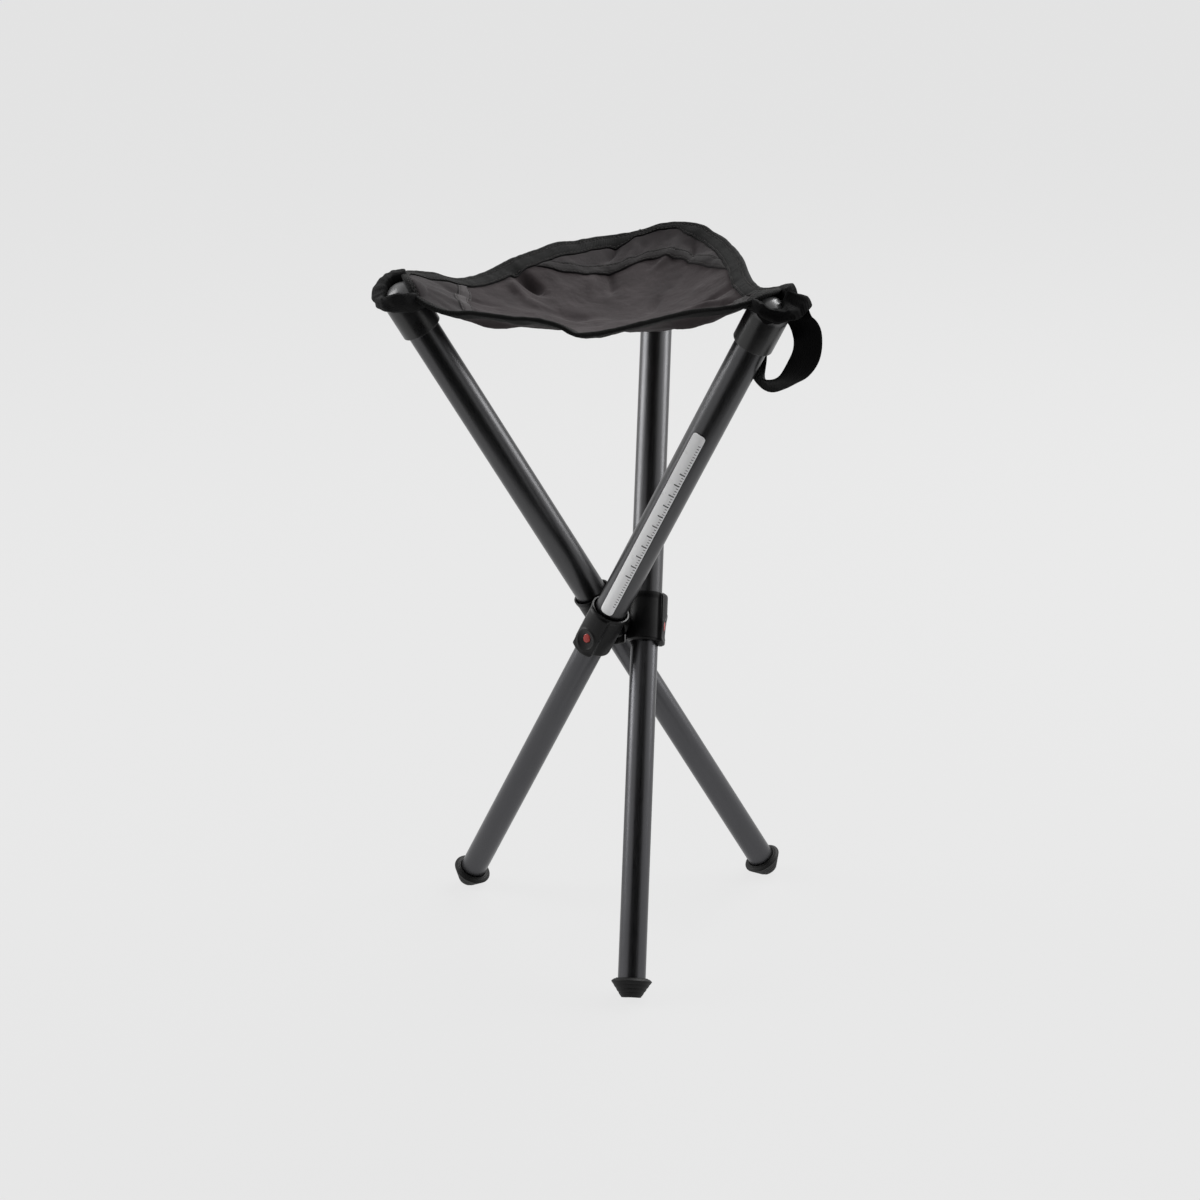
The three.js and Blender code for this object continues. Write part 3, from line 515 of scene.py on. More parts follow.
class Finish(Nodes):
    """A material whose pattern follows the place that points carry, or the object's own axes."""

    def __init__(self, name, color, roughness, metallic=0.0, local=True, **sockets):
        self.material = bpy.data.materials.new(name)
        super().__init__(self.material)
        self.shader = self.tree.nodes["Principled BSDF"]
        values = {"Base Color": (*color, 1), "Roughness": roughness, "Metallic": metallic}
        values.update((key.replace("_", " "), value) for key, value in sockets.items())
        for key, value in values.items():
            self.shader.inputs[key].default_value = value
        if local:
            self.place = self.add("Attribute", attribute_name="place").outputs["Vector"]
        else:
            self.place = self.scaled(self.add("TexCoord").outputs["Object"], (1 / MM, 1 / MM, 1 / MM))

    def set(self, key, output):
        self.tree.links.new(output, self.shader.inputs[key])

    def scaled(self, vector, scale):
        return self.add("VectorMath", {0: vector, 1: scale}, operation="MULTIPLY").outputs[0]

    def speckle(self, scale, detail, stretch=None):
        """Noise over millimetre coordinates, with grains of about 1 / scale, or stretched along an axis."""
        vector = self.scaled(self.place, stretch) if stretch else self.place
        return self.add("TexNoise", {"Vector": vector, "Scale": scale, "Detail": detail}).outputs["Fac"]

    def axis(self, axis, vector=None):
        return self.add("SeparateXYZ", {0: vector or self.place}).outputs[axis]

    def waves(self, axis, pitch, vector=None):
        """Sine waves of a pitch in millimetres along one coordinate."""
        return self.math("SINE", self.times(self.axis(axis, vector), 2 * math.pi / pitch))

    def relief(self, height, distance, strength=1.0):
        """Bump of a height in millimetres."""
        inputs = {"Height": height, "Distance": distance * MM, "Strength": strength}
        self.set("Normal", self.add("Bump", inputs).outputs[0])


def anodised(name, dark, light, roughness, local=True):
    """Drawn and anodised aluminium: fine lines along the tube and faint scuffs."""
    metal = Finish(name, light, roughness, 1.0, local)
    lines = metal.speckle(1.0, 5.0, (1.6, 1.6, 0.02))
    patches = metal.speckle(1.0, 2.0, (0.05, 0.05, 0.02))
    scuffs = metal.speckle(1.0, 6.0, (0.9, 0.9, 0.12))
    metal.set("Base Color", metal.mix(patches, dark, light))
    worn = metal.plus(lines, scuffs)
    metal.set("Roughness", metal.between(worn, roughness - 0.05, roughness + 0.09, 0.6, 1.4))
    metal.relief(lines, 0.0002, 0.5)
    return metal.material


def moulded(name, dark, light, roughness, grain=0.02, specular=0.5, local=True, painted_highlight_above=None):
    """Moulded plastic or rubber: a fine grain, slight mottling, polished edges, and maybe a painted highlight
    that makes it paler over a height.
    """
    plastic = Finish(name, dark, roughness, 0.0, local, Specular_IOR_Level=specular)
    grains, clouds = plastic.speckle(3.2, 2.0), plastic.speckle(0.12, 3.0)
    edges = plastic.between(plastic.add("NewGeometry").outputs["Pointiness"], 0.0, 1.0, 0.52, 0.6)
    color = plastic.mix(plastic.plus(plastic.times(clouds, 0.6), edges), dark, light)
    # Painted highlight: above this height the colour turns paler in patches, standing in for the top lamp's
    # light on the cap's dome.
    if painted_highlight_above:
        above = plastic.between(plastic.axis("Z"), 0.0, 1.0, painted_highlight_above, painted_highlight_above + 2.0)
        patchy = plastic.between(clouds, 0.75, 1.0, 0.3, 0.7)
        color = plastic.mix(plastic.times(above, patchy), color, PAINTED_HIGHLIGHT_COLOR)
    plastic.set("Base Color", color)
    rough = plastic.minus(clouds, plastic.times(edges, 0.5))
    plastic.set("Roughness", plastic.between(rough, roughness - 0.06, roughness + 0.08, 0.2, 0.8))
    plastic.relief(grains, grain)
    return plastic.material


def banded(cloth, color, tape, dark):
    """A paler band along a pocket's mouth, with painted shade as a dark line along both of its edges."""
    away = cloth.axis("Z")
    color = cloth.mix(cloth.between(away, 1.0, 0.0, BAND - 0.5, BAND + 0.3), color, tape)
    # Painted shade: dark lines along the fold at the mouth and along the band's outer edge, where the cloth
    # steps down.
    shade_distance_from_middle = cloth.math("ABSOLUTE", cloth.minus(away, BAND / 2))
    line = cloth.between(shade_distance_from_middle, 0.0, 0.85, BAND / 2 - 0.9, BAND / 2 + 0.1)
    line = cloth.times(line, cloth.between(away, 1.0, 0.0, BAND + 0.4, BAND + 1.2))
    return cloth.mix(line, color, tuple(0.3 * value for value in dark))


def woven(name, dark, light, pitch, sheen=0.06, depth=0.05, ribs=0.0, tape=None, way="X"):
    """Plain-woven cloth: threads over and under, mottled colour, a soft sheen and maybe a paler band with
    painted shade along its edges.
    """
    cloth = Finish(name, light, CLOTH_ROUGHNESS, Sheen_Weight=sheen, Sheen_Roughness=0.45,
                   Specular_IOR_Level=0.12)
    bent = cloth.add("VectorMath", {0: cloth.place, 1: cloth.speckle(0.8, 2.0)}, operation="ADD").outputs[0]
    crossed = cloth.times(cloth.waves("X", pitch, bent), cloth.waves("Y", pitch, bent))
    threads = cloth.between(crossed, 0.0, 1.0, -1.0, 1.0)
    if ribs:
        rows = cloth.between(cloth.waves(way, ribs), 0.0, 1.0, -1.0, 1.0)
        threads = cloth.plus(cloth.times(threads, 0.4), rows)
    clouds, slubs = cloth.speckle(0.045, 4.0), cloth.speckle(1.0, 3.0, (1.4, 0.15, 1.0))
    tone = cloth.plus(cloth.between(clouds, 0.0, 0.55, 0.3, 0.7), cloth.between(slubs, 0.0, 0.45, 0.3, 0.7))
    color = cloth.mix(cloth.minus(tone, cloth.times(threads, 0.12)), dark, light)
    cloth.set("Base Color", banded(cloth, color, tape, dark) if tape else color)
    cloth.set("Roughness", cloth.between(slubs, CLOTH_ROUGHNESS - 0.07, CLOTH_ROUGHNESS + 0.07, 0.3, 0.7))
    cloth.relief(cloth.plus(threads, cloth.times(slubs, 0.5)), depth)
    return cloth.material


def label_film():
    """Silver film with a dark line round its edge and plain graduation ticks."""
    film = Finish("label film", LABEL_SILVER, 0.32, 0.05, Coat_Weight=0.1)
    across, along = film.axis("X"), film.axis("Y")
    middle = film.math("ABSOLUTE", film.minus(along, LABEL_LENGTH / 2))
    beside = film.math("ABSOLUTE", across)

    def ticks(pitch, reach, half):
        tests = (
            ("LESS_THAN", film.math("PINGPONG", along, pitch / 2), half),
            ("LESS_THAN", across, LABEL_WIDTH / 2 - LABEL_MARGIN),
            ("GREATER_THAN", across, LABEL_WIDTH / 2 - reach),
            ("LESS_THAN", middle, LABEL_LENGTH / 2 - 2 * LABEL_MARGIN * pitch),
        )
        return functools.reduce(film.times, (film.math(*test) for test in tests))

    # The distance from the middle of a corner's arc also gives the line along the straight edges
    past = (film.math("MAXIMUM", film.minus(value, size / 2 - LABEL_CORNER), 0.0)
            for value, size in ((beside, LABEL_WIDTH), (middle, LABEL_LENGTH)))
    corner = film.math("SQRT", film.plus(*(film.math("POWER", value, 2.0) for value in past)))
    ink = film.math("GREATER_THAN", corner, LABEL_CORNER - LABEL_LINE)
    for pitch, reach, half in LABEL_TICKS:
        ink = film.math("MAXIMUM", ink, ticks(pitch, reach, half))
    film.set("Base Color", film.mix(ink, LABEL_SILVER, LABEL_INK))
    film.set("Roughness", film.between(film.speckle(0.15, 4.0), 0.26, 0.4, 0.3, 0.7))
    film.relief(film.speckle(0.3, 2.0), 0.02)
    return film.material


PANEL_DARK, PANEL_LIGHT = (0.0195, 0.0168, 0.0176), (0.037, 0.0318, 0.0334)
WEBBING = {"ribs": 1.6, "depth": 0.14}

FINISHES = {
    "upper_tube": anodised("upper tube metal", (0.072, 0.072, 0.074), (0.09, 0.09, 0.093), 0.32),
    "lower_tube": anodised("lower tube metal", (0.075, 0.075, 0.079), (0.092, 0.092, 0.097), 0.31),
    "collar": moulded("collar plastic", (0.002, 0.002, 0.0021), (0.0085, 0.0085, 0.009), 0.4, specular=0.24),
    # The cap's dome gets a painted highlight above its shoulder.
    "cap": moulded("cap plastic", (0.005, 0.005, 0.0052), (0.013, 0.013, 0.0136), 0.3, 0.006, specular=0.55,
                   painted_highlight_above=CAP_SHOULDER),
    "button": moulded("button plastic", (0.26, 0.012, 0.01), (0.5, 0.045, 0.028), 0.24, 0.004),
    "rubber": moulded("foot rubber", (0.003, 0.003, 0.003), (0.01, 0.01, 0.01), 0.6, 0.03, 0.24),
    "guide_plain": moulded("guide plastic", (0.55, 0.54, 0.5), (0.75, 0.74, 0.7), 0.45, local=False),
    "steel_plain": anodised("spring steel", (0.45, 0.45, 0.46), (0.62, 0.62, 0.63), 0.25, local=False),
    "cloth": woven("seat cloth", (0.0205, 0.0162, 0.0171), (0.0425, 0.0342, 0.036), 0.55),
    "panel": woven("pocket panel cloth", PANEL_DARK, PANEL_LIGHT, 0.55, tape=(0.018, 0.0162, 0.0166)),
    "panel_pale": woven("corner panel cloth", PANEL_DARK, PANEL_LIGHT, 0.55, tape=(0.062, 0.0565, 0.058)),
    "hem": woven("hem tape", (0.004, 0.0041, 0.004), (0.0105, 0.0107, 0.0105), 0.7, sheen=0.03, ribs=1.3,
                 depth=0.16, way="Y"),
    "pocket": woven("pocket webbing", (0.006, 0.006, 0.0062), (0.017, 0.017, 0.0174), 0.8, sheen=0.03,
                    **WEBBING),
    "webbing": woven("strap webbing", (0.0012, 0.0012, 0.0013), (0.0035, 0.0035, 0.0037), 0.8, sheen=0.004,
                     **WEBBING),
    "thread": woven("sewing thread", (0.045, 0.042, 0.041), (0.085, 0.08, 0.078), 0.3, depth=0.03),
    "label": label_film(),
}


# Legs


def on_body(leg, name, finish, slot, body, node, points, faces, sharp=None):
    """A piece from points in a leg's frame, which rides on a body of that leg in place of a CAD node."""
    made = piece(f"{name}_{leg}", on_leg(leg, points), faces, finish, points, sharp)
    dressed(made, f"{body}_{leg}", f"{node}_{leg}")


def tube(leg, which, radius, bore, low, high):
    """A round tube with softened edges."""
    points, faces = revolved(filleted([(radius, low), (radius, high), (bore, high), (bore, low)], 0.4))
    shown = f"{which}_tube"
    on_body(leg, f"tube_{which}", shown, shown, f"{which}_leg", shown, points, faces)


def end_cap(leg):
    """Domed cap on the top of the tube, with a stem inside it."""
    dome = [(CAP_RADIUS * math.cos(t), CAP_SHOULDER + (CAP_TOP - CAP_SHOULDER) * math.sin(t))
            for t in np.linspace(0, math.pi / 2, 25)]
    profile = filleted([
        (CAP_STEM_BORE, CAP_SEAT - CAP_FLOOR), (CAP_STEM_BORE, CAP_STEM_LOW), (CAP_STEM, CAP_STEM_LOW),
        (CAP_STEM, CAP_SEAT), (CAP_BORE, CAP_SEAT), (CAP_BORE, CAP_RIM), (CAP_RADIUS, CAP_RIM), dome[0],
    ], 0.5, closed=False)
    profile = np.vstack([[(0, CAP_SEAT - CAP_FLOOR)], profile, dome[1:-1], [(0, CAP_TOP)]])
    on_body(leg, "cap", "cap", "cap_plastic", "upper_leg", "end_cap", *revolved(profile, closed=False))


def foot_piece(leg):
    """Rubber foot: a grooved flange, a ribbed cone and a stem in the tube."""
    edge = FOOT_TOP - FOOT_CHAMFER
    share = np.linspace(0, 1, FOOT_ROWS)[1:-1]
    ripple = FOOT_RIB * np.clip(np.sin(share * FOOT_RIBS * 2 * math.pi), 0, 1)
    ripple = ripple * np.sin(share * math.pi) ** 0.5
    cone = np.stack([FOOT_TIP_RADIUS + (FOOT_FLANGE - FOOT_TIP_RADIUS) * share - ripple,
                     FOOT_TIP + (edge - FOOT_LIP - FOOT_TIP) * share], -1)
    upper = filleted([
        (FOOT_FLANGE, edge - FOOT_LIP), (FOOT_FLANGE, edge),
        (FOOT_TOP_RADIUS + FOOT_RING, FOOT_TOP - FOOT_RING),
        (FOOT_TOP_RADIUS - FOOT_RING, FOOT_TOP - FOOT_RING), (FOOT_TOP_RADIUS - FOOT_RING, FOOT_TOP),
        (FOOT_HOLE, FOOT_TOP), (FOOT_HOLE, FOOT_SEAT), (FOOT_STEM, FOOT_SEAT),
        (FOOT_STEM, FOOT_STEM_TOP), (FOOT_BORE, FOOT_STEM_TOP), (FOOT_BORE, FOOT_SEAT), (0, FOOT_SEAT),
    ], 0.3, closed=False)
    tip = [(0, FOOT_TIP), (FOOT_TIP_RADIUS - FOOT_TIP_ROUND, FOOT_TIP),
           (FOOT_TIP_RADIUS, FOOT_TIP + FOOT_TIP_ROUND)]
    points, faces = revolved(np.vstack([tip, cone, upper]), closed=False)
    placed = on_leg(leg, points)
    placed[:, 2] = np.maximum(placed[:, 2], 0)
    made = piece(f"rubber_foot_{leg}", placed, faces, "rubber", points, sharp=40)
    dressed(made, f"lower_leg_{leg}", f"foot_{leg}")


def uneven(low, high, fine_low, fine_high, step, fine_step):
    """Rising values that are closer together in one stretch."""
    before = np.arange(low, fine_low, step)
    fine = np.arange(fine_low, fine_high, fine_step)
    after = np.linspace(fine_high, high, int((high - fine_high) / step) + 2)
    return np.concatenate([before, fine, after])


def collar_radius(turn, height):
    """Distance of the collar's outer wall from the tube's axis."""
    sine, cosine = np.sin(turn), np.maximum(np.cos(turn), 1e-3)
    flare = smooth_step(height, COLLAR_TOP - 2 * FLARE_HEIGHT, COLLAR_TOP - FLARE_HEIGHT / 2)
    # The panel: a crowned face that draws in below the button and rounds off above
    knots, faces, crowns = zip(*PANEL)
    top = np.clip((height - (COLLAR_TOP - PANEL_CORNER)) / PANEL_CORNER, 0, 1)
    face = np.interp(height, knots, faces) - PANEL_CORNER * (1 - np.sqrt(1 - top**2))
    bend = np.interp(height, knots, crowns) / PANEL_HALF**2 * sine**2 + 1e-6
    face = (np.sqrt(cosine**2 + 4 * bend * face) - cosine) / (2 * bend)
    panel = smooth_min(face, PANEL_HALF / np.maximum(np.abs(sine), 1e-3), PANEL_EDGE)
    sleeve = COLLAR_RADIUS + COLLAR_FLARE * flare
    radius = smooth_max(np.where(np.cos(turn) > 0, panel, 0), sleeve, PANEL_FOOT)
    # The seam between panel and sleeve, on the flanks
    seam = np.exp(-(((radius * np.cos(turn) - SEAM_PLACE) / SEAM_WIDTH) ** 2))
    radius = radius - SEAM_DEPTH * seam * (np.abs(turn) < math.radians(SEAM_TURN)) * smooth_step(height, 0, 4)
    # The round boss on the pivot's side
    outside = np.hypot(COLLAR_RADIUS * sine, height) - BOSS_RADIUS
    rise = smooth_step(-outside, -0.3, 0.5) * (np.cos(turn) < BOSS_SIDE)
    return radius + np.maximum(BOSS_REACH / np.maximum(-np.cos(turn), 1e-3) - radius, 0) * rise


def dimpled(points):
    """The collar's outer wall with the thumb dimple and the button's slot pressed into it."""
    out, side, up = points.T
    reach = np.where(out > DISH_EDGE, np.hypot(side / DISH_WIDTH, (up + DISH_DROP) / DISH_HEIGHT), 2.0)
    out = out - DISH_DEPTH * (1 - smooth_step(reach, DISH_FLOOR, 1.0))
    out = out + DISH_RIDGE * np.exp(-(((reach - RIDGE_PLACE) / RIDGE_WIDTH) ** 2))
    oval = np.hypot(side / (BUTTON_WIDTH + BUTTON_PLAY), (up + BUTTON_DROP) / (BUTTON_HEIGHT + BUTTON_PLAY))
    return np.stack([np.where((oval < 1) & (out > 0), out - SLOT_DEPTH, out), side, up], -1)


def collar(leg):
    """Moulded collar: flared sleeve, panel with thumb dimple and lip, pivot boss, seats inside."""
    turn = np.radians(uneven(*COLLAR_TURNS)[:-1])
    share = np.concatenate([uneven(*COLLAR_ROWS), COLLAR_LAST_ROWS])[:, None]
    front = (COLLAR_RADIUS * np.cos(turn) - LIP_START) / LIP_RUN
    bottom = COLLAR_BOTTOM - LIP_DROP * np.clip(front, 0, 1) ** LIP_CURVE
    height = COLLAR_TOP + (bottom - COLLAR_TOP) * share
    into = np.clip((bottom + LIP_ROUND - height) / LIP_ROUND, 0, 1)
    wall = ring(collar_radius(turn, height) - LIP_ROUND * (1 - np.sqrt(1 - into**2)), turn, height)
    wall = dimpled(wall.reshape(-1, 3)).reshape(wall.shape)
    inner = []
    for wide, drop in LIP_ROWS:
        lip = wall[-1].copy()
        throat = COLLAR_THROAT / np.hypot(lip[:, 0], lip[:, 1])
        lip[:, :2] *= (throat + (1 - throat) * wide)[:, None]
        lip[:, 2] += drop
        inner.append(lip)
    wells = ((COLLAR_THROAT, COLLAR_FLOOR), (COLLAR_BORE, COLLAR_FLOOR),
             (COLLAR_BORE, COLLAR_TOP - FLARE_HEIGHT), (COLLAR_MOUTH, COLLAR_TOP - 0.4),
             (COLLAR_MOUTH + 0.3, COLLAR_TOP))
    inner += [ring(wide, turn, up) for wide, up in wells]
    rows = np.concatenate([wall, np.array(inner)])
    points = rows.reshape(-1, 3)
    faces = grid_faces(len(rows), len(turn), wrap_rows=True, wrap_columns=True)
    on_body(leg, "collar_shell", "collar", "moulded_plastic", "upper_leg", "collar", points, faces, 50)


def push_button(leg):
    """Oval button: a domed cap, a flange that keeps it in the collar and a nose."""
    oval, base = BUTTON_HEIGHT / BUTTON_WIDTH, BUTTON_CROWN - BUTTON_DOME
    wide, high = DOME_POWERS
    dome = [(BUTTON_WIDTH * math.cos(t) ** wide, base + BUTTON_DOME * math.sin(t) ** high)
            for t in np.linspace(0, math.pi / 2, 13)[:-1]]
    flange, nose = BUTTON_WIDTH + BUTTON_FLANGE, NOSE_RADIUS / oval
    profile = filleted([
        (0, NOSE_TIP), (nose, NOSE_TIP), (nose, BUTTON_SEAT), (flange, BUTTON_SEAT),
        (flange, BUTTON_SEAT + FLANGE_THICKNESS), (BUTTON_WIDTH, BUTTON_SEAT + FLANGE_THICKNESS),
        (BUTTON_WIDTH, base),
    ], 0.15, closed=False)
    points, faces = revolved(np.vstack([profile, dome[1:], [(0, BUTTON_CROWN)]]), closed=False)
    local = np.stack([points[:, 2], points[:, 1], points[:, 0] * oval - BUTTON_DROP], -1)
    on_body(leg, "button_cap", "button", "button", "button", "push_button", local, faces)


def hub():
    """Three-way hub: a tapered prism with a rounded flat and a bore towards each leg."""
    turn = full_turn(HUB_STEPS)
    azimuth = [math.atan2(*(LEG_FRAMES[name][0] - HUB)[1::-1]) for name in LEGS]
    nearest = np.max([np.cos(turn - a) for a in azimuth], axis=0)
    foot, head = HUB_LOW + HUB_TAPER, HUB_HIGH - HUB_TAPER
    taper = HUB_TAPER * np.linspace(0, 1, HUB_TAPER_ROWS)
    rows = []
    for level in (*(HUB_LOW + taper), *np.linspace(foot, head, HUB_ROWS)[1:-1], *(HUB_HIGH - taper[::-1])):
        into = max(foot - level, level - head, 0)
        limit = HUB_CORNER - HUB_TAPER * (1 - math.sqrt(max(1 - (into / HUB_TAPER) ** 2, 0)))
        radius = smooth_min(HUB_FLAT / nearest, limit + 0 * turn, HUB_ROUND)
        for a in azimuth:
            bore = (np.hypot(radius * np.sin(turn - a), level) < HUB_BORE) & (np.cos(turn - a) > 0.5)
            radius = np.where(bore, radius - HUB_BORE_DEPTH, radius)
        rows.append(ring(radius, turn, level))
    points = np.vstack([np.concatenate(rows), [(0, 0, HUB_LOW), (0, 0, HUB_HIGH)]])
    faces = grid_faces(len(rows), HUB_STEPS, wrap_columns=True)
    last = (len(rows) - 1) * HUB_STEPS
    for i in range(HUB_STEPS):
        after = (i + 1) % HUB_STEPS
        faces += [(last + i, last + after, len(points) - 1), (after, i, len(points) - 2)]
    made = piece("hub_block", HUB + points, faces, "collar", points, sharp=50)
    dressed(made, "root", "hub")


def label():
    """Curved film on the upper tube of leg a, with rounded ends."""
    along = LABEL_LENGTH * np.linspace(0, 1, LABEL_ROWS)
    into = np.clip(LABEL_CORNER - np.minimum(along, LABEL_LENGTH - along), 0, None)
    width = LABEL_WIDTH / 2 - LABEL_CORNER + np.sqrt(LABEL_CORNER**2 - into**2)
    across = width[:, None] * np.linspace(-1, 1, LABEL_COLUMNS)
    up = along[:, None] + 0 * across
    layers = []
    for lift in (LABEL_LIFT + LABEL_THICKNESS, LABEL_LIFT):
        radius = UPPER_RADIUS + lift
        layers.append(ring(radius, math.radians(LABEL_TURN) + across / radius, LABEL_START + up))
    film = np.stack([across, up, 0 * across], -1)
    points, place = (np.concatenate([top, under[:, ::-1]], axis=1).reshape(-1, 3)
                     for top, under in (layers, (film, film)))
    columns = 2 * LABEL_COLUMNS
    faces = grid_faces(LABEL_ROWS, columns, wrap_columns=True) + end_rows(LABEL_ROWS, columns)
    made = piece("label_film", on_leg("a", points), faces, "label", place, sharp=40)
    dressed(made, "upper_leg_a", "label")


# Seat. Its points are worked out from the hub's axis; a share of 1 is at the rim.


def rim_radius(azimuth):
    return smooth_curve(azimuth, RIM_AZIMUTH, RIM_RADIUS)


def polar(radius, azimuth):
    """Points of the level plane, as x and y, from a radius and an azimuth in degrees."""
    return radius * np.cos(np.radians(azimuth)), radius * np.sin(np.radians(azimuth))


FOLD_LINES = [(spline(np.stack(polar(*np.array(knots, float).T), -1), FOLD_STEPS), height, width)
              for knots, height, width in FOLDS]


def folds(x, y):
    """Height of the pressed folds over the hub-centred plane."""
    total = np.zeros_like(x)
    for line, height, width in FOLD_LINES:
        best, fade = np.full(x.shape, 1e9), np.zeros_like(x)
        for k, (start, step) in enumerate(zip(line, np.diff(line, axis=0))):
            along = np.clip(((x - start[0]) * step[0] + (y - start[1]) * step[1]) / (step @ step), 0, 1)
            far = np.hypot(x - start[0] - along * step[0], y - start[1] - along * step[1])
            where = (k + along) / (len(line) - 1)
            fade = np.where(far < best, np.sin(math.pi * np.clip(where * 0.8 + 0.1, 0, 1)), fade)
            best = np.minimum(far, best)
        total += height * fade * np.exp(-((best / width) ** 2))
    return total


def dome_height(leg, x, y):
    """Height of a cap's dome over the hub-centred plane, with the cloth's clearance."""
    pivot, axes = LEG_FRAMES[leg]
    middle = pivot + axes[2] * CAP_SHOULDER - HUB_LEVEL
    wide, tall = CAP_RADIUS + DOME_CLEARANCE, CAP_TOP - CAP_SHOULDER + DOME_CLEARANCE
    form = axes.T @ np.diag([wide**-2, wide**-2, tall**-2]) @ axes
    dx, dy = x - middle[0], y - middle[1]
    half = (form[0, 2] * dx + form[1, 2] * dy) / form[2, 2]
    rest = (form[0, 0] * dx**2 + 2 * form[0, 1] * dx * dy + form[1, 1] * dy**2 - 1) / form[2, 2]
    inside = half**2 - rest
    return np.where(inside > 0, middle[2] - half + np.sqrt(np.maximum(inside, 0)), 0.0)


def seat_height(x, y):
    """Height of the cloth's top over the hub-centred plane."""
    azimuth = np.degrees(np.arctan2(y, x))
    share = np.hypot(x, y) / rim_radius(azimuth)
    rim = smooth_curve(azimuth, RIM_AZIMUTH, RIM_HEIGHT)
    height = SEAT_FLOOR + (rim - SEAT_FLOOR) * np.maximum(share, 0) ** SEAT_POWER
    inside = 1 - smooth_step(share, 0.82, 1.0)
    height += FOLD_SCALE * folds(x, y) * (0.35 + 0.65 * inside)
    for middle in CORNERS.values():
        corner_x, corner_y = polar(PULL_MIDDLE, middle)
        far = np.hypot(x - corner_x, y - corner_y)
        around = np.arctan2(y - corner_y, x - corner_x) - math.radians(middle)
        pulls = np.sin(PULL_COUNT * around + 2 * soft_noise(x, y, 40, 5))
        height += PULL_HEIGHT * pulls * np.exp(-(((far - PULL_PLACE) / PULL_WIDTH) ** 2)) * inside
    height += sum(rise * soft_noise(x, y, size, seed) for rise, size, seed in WAVER) * (0.3 + 0.7 * inside)
    height += sum(rise * soft_noise(x, y, size, seed) for rise, size, seed in FINE_WAVER)
    for leg in LEGS:
        height = smooth_max(height, dome_height(leg, x, y), DOME_BLEND)
    return height


def seat_normals(x, y):
    step = SLOPE_STEP
    slope_x = (seat_height(x + step, y) - seat_height(x - step, y)) / (2 * step)
    slope_y = (seat_height(x, y + step) - seat_height(x, y - step)) / (2 * step)
    normal = np.stack([-slope_x, -slope_y, np.ones_like(x)], -1)
    return normal / np.linalg.norm(normal, axis=-1, keepdims=True)


def on_seat(azimuth, inset=None, lift=0.0, share=None):
    """Points over the cloth, an inset in millimetres from the rim, or at a share of its radius."""
    reach = rim_radius(azimuth)
    x, y = polar(reach - inset if share is None else reach * share, azimuth)
    normal = seat_normals(x, y)
    flat = np.stack([x, y, seat_height(x, y)], -1)
    return flat + normal * np.asarray(lift, float)[..., None], normal


def to_stool(*grids):
    """Points of the hub-centred plane as one list in the stool's frame."""
    return np.concatenate([grid.reshape(-1, 3) for grid in grids]) + HUB_LEVEL


def blended(made):
    """Cloth with its placement baked into its mesh."""
    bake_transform(made)


def petal(corner):
    """A third of the seat cloth, from the middle to its corner."""
    azimuth = CORNERS[corner] + np.linspace(-PETAL_HALF, PETAL_HALF, PETAL_COLUMNS)
    share = np.linspace(0, 1, PETAL_ROWS)[:, None]
    top, normal = on_seat(azimuth + 0 * share, share=share)
    points = to_stool(top, top - normal * CLOTH)
    hints = np.concatenate([normal.reshape(-1, 3), -normal.reshape(-1, 3)])
    faces = strip_faces(PETAL_ROWS, PETAL_COLUMNS)
    return piece(f"seat_cloth_{corner}", points, faces, "cloth", points, hints=hints)


def hem_width(corner, turn):
    """Width of the hem round a petal's rim, with a waver."""
    wide = smooth_step(np.abs(turn), *NECK_TURNS)
    width = HEM_WIDTH - (HEM_WIDTH - NECK_WIDTH[corner]) * (1 - wide)
    return width + HEM_EDGE_WAVER * soft_noise(CORNERS[corner] + turn, 0 * turn, 1.7, 9)


def panel(corner):
    """Second layer of cloth over a corner: its mouth is folded over in a band."""
    turns, shares = zip(*MOUTHS[corner])
    turn = np.linspace(turns[0], turns[-1], PANEL_COLUMNS)
    azimuth = CORNERS[corner] + turn
    reach = rim_radius(azimuth)
    mouth = smooth_line(np.interp(turn, turns, shares), MOUTH_PASSES) * reach
    room = np.maximum(reach - PANEL_TUCK - mouth, 1.0)
    rows = [mouth + np.minimum(far, room * k / (len(BAND_STEPS) + 2)) for k, far in enumerate(BAND_STEPS)]
    rows += [rows[-1] + (reach - PANEL_TUCK - rows[-1]) * step for step in np.linspace(0, 1, PANEL_ROWS)[1:]]
    radius = np.array(rows)
    away = radius - mouth
    edge = np.clip(away, 0, 1)
    lift = PANEL_LIFT * np.sqrt(1 - (1 - edge) ** 2)
    lift = lift + BAND_LIFT * (1 - smooth_step(away, BAND - 0.4, BAND + 0.6)) * edge
    for row in STITCH_ROWS:
        lift = lift - STITCH_GROOVE * np.exp(-(((away - row) / GROOVE_WIDTH) ** 2))
    rise, size, seed = PANEL_WAVER
    lift = lift + rise * soft_noise(*polar(radius, azimuth), size, seed)
    ends = np.clip(np.minimum(turn - turns[0], turns[-1] - turn) / 1.5, 0, 1)
    lift = lift * np.sqrt(1 - (1 - ends) ** 2) + 0.05
    under_hem = smooth_step(radius - reach + hem_width(corner, turn), -1.5, 0.0)
    lift = lift * (1 - PANEL_SUNK * under_hem)
    layers = (on_seat(azimuth + 0 * radius, lift=level, share=radius / reach)[0]
              for level in (lift, 0 * lift - 0.3))
    points = to_stool(*layers)
    place = np.column_stack([points[:, :2], np.tile(away.ravel(), 2)])
    finish = "panel_pale" if corner == "c" else "panel"
    faces = strip_faces(*radius.shape)
    made = piece(f"pocket_panel_{corner}", points, faces, finish, place, sharp=60)
    return made, (azimuth, mouth, reach)


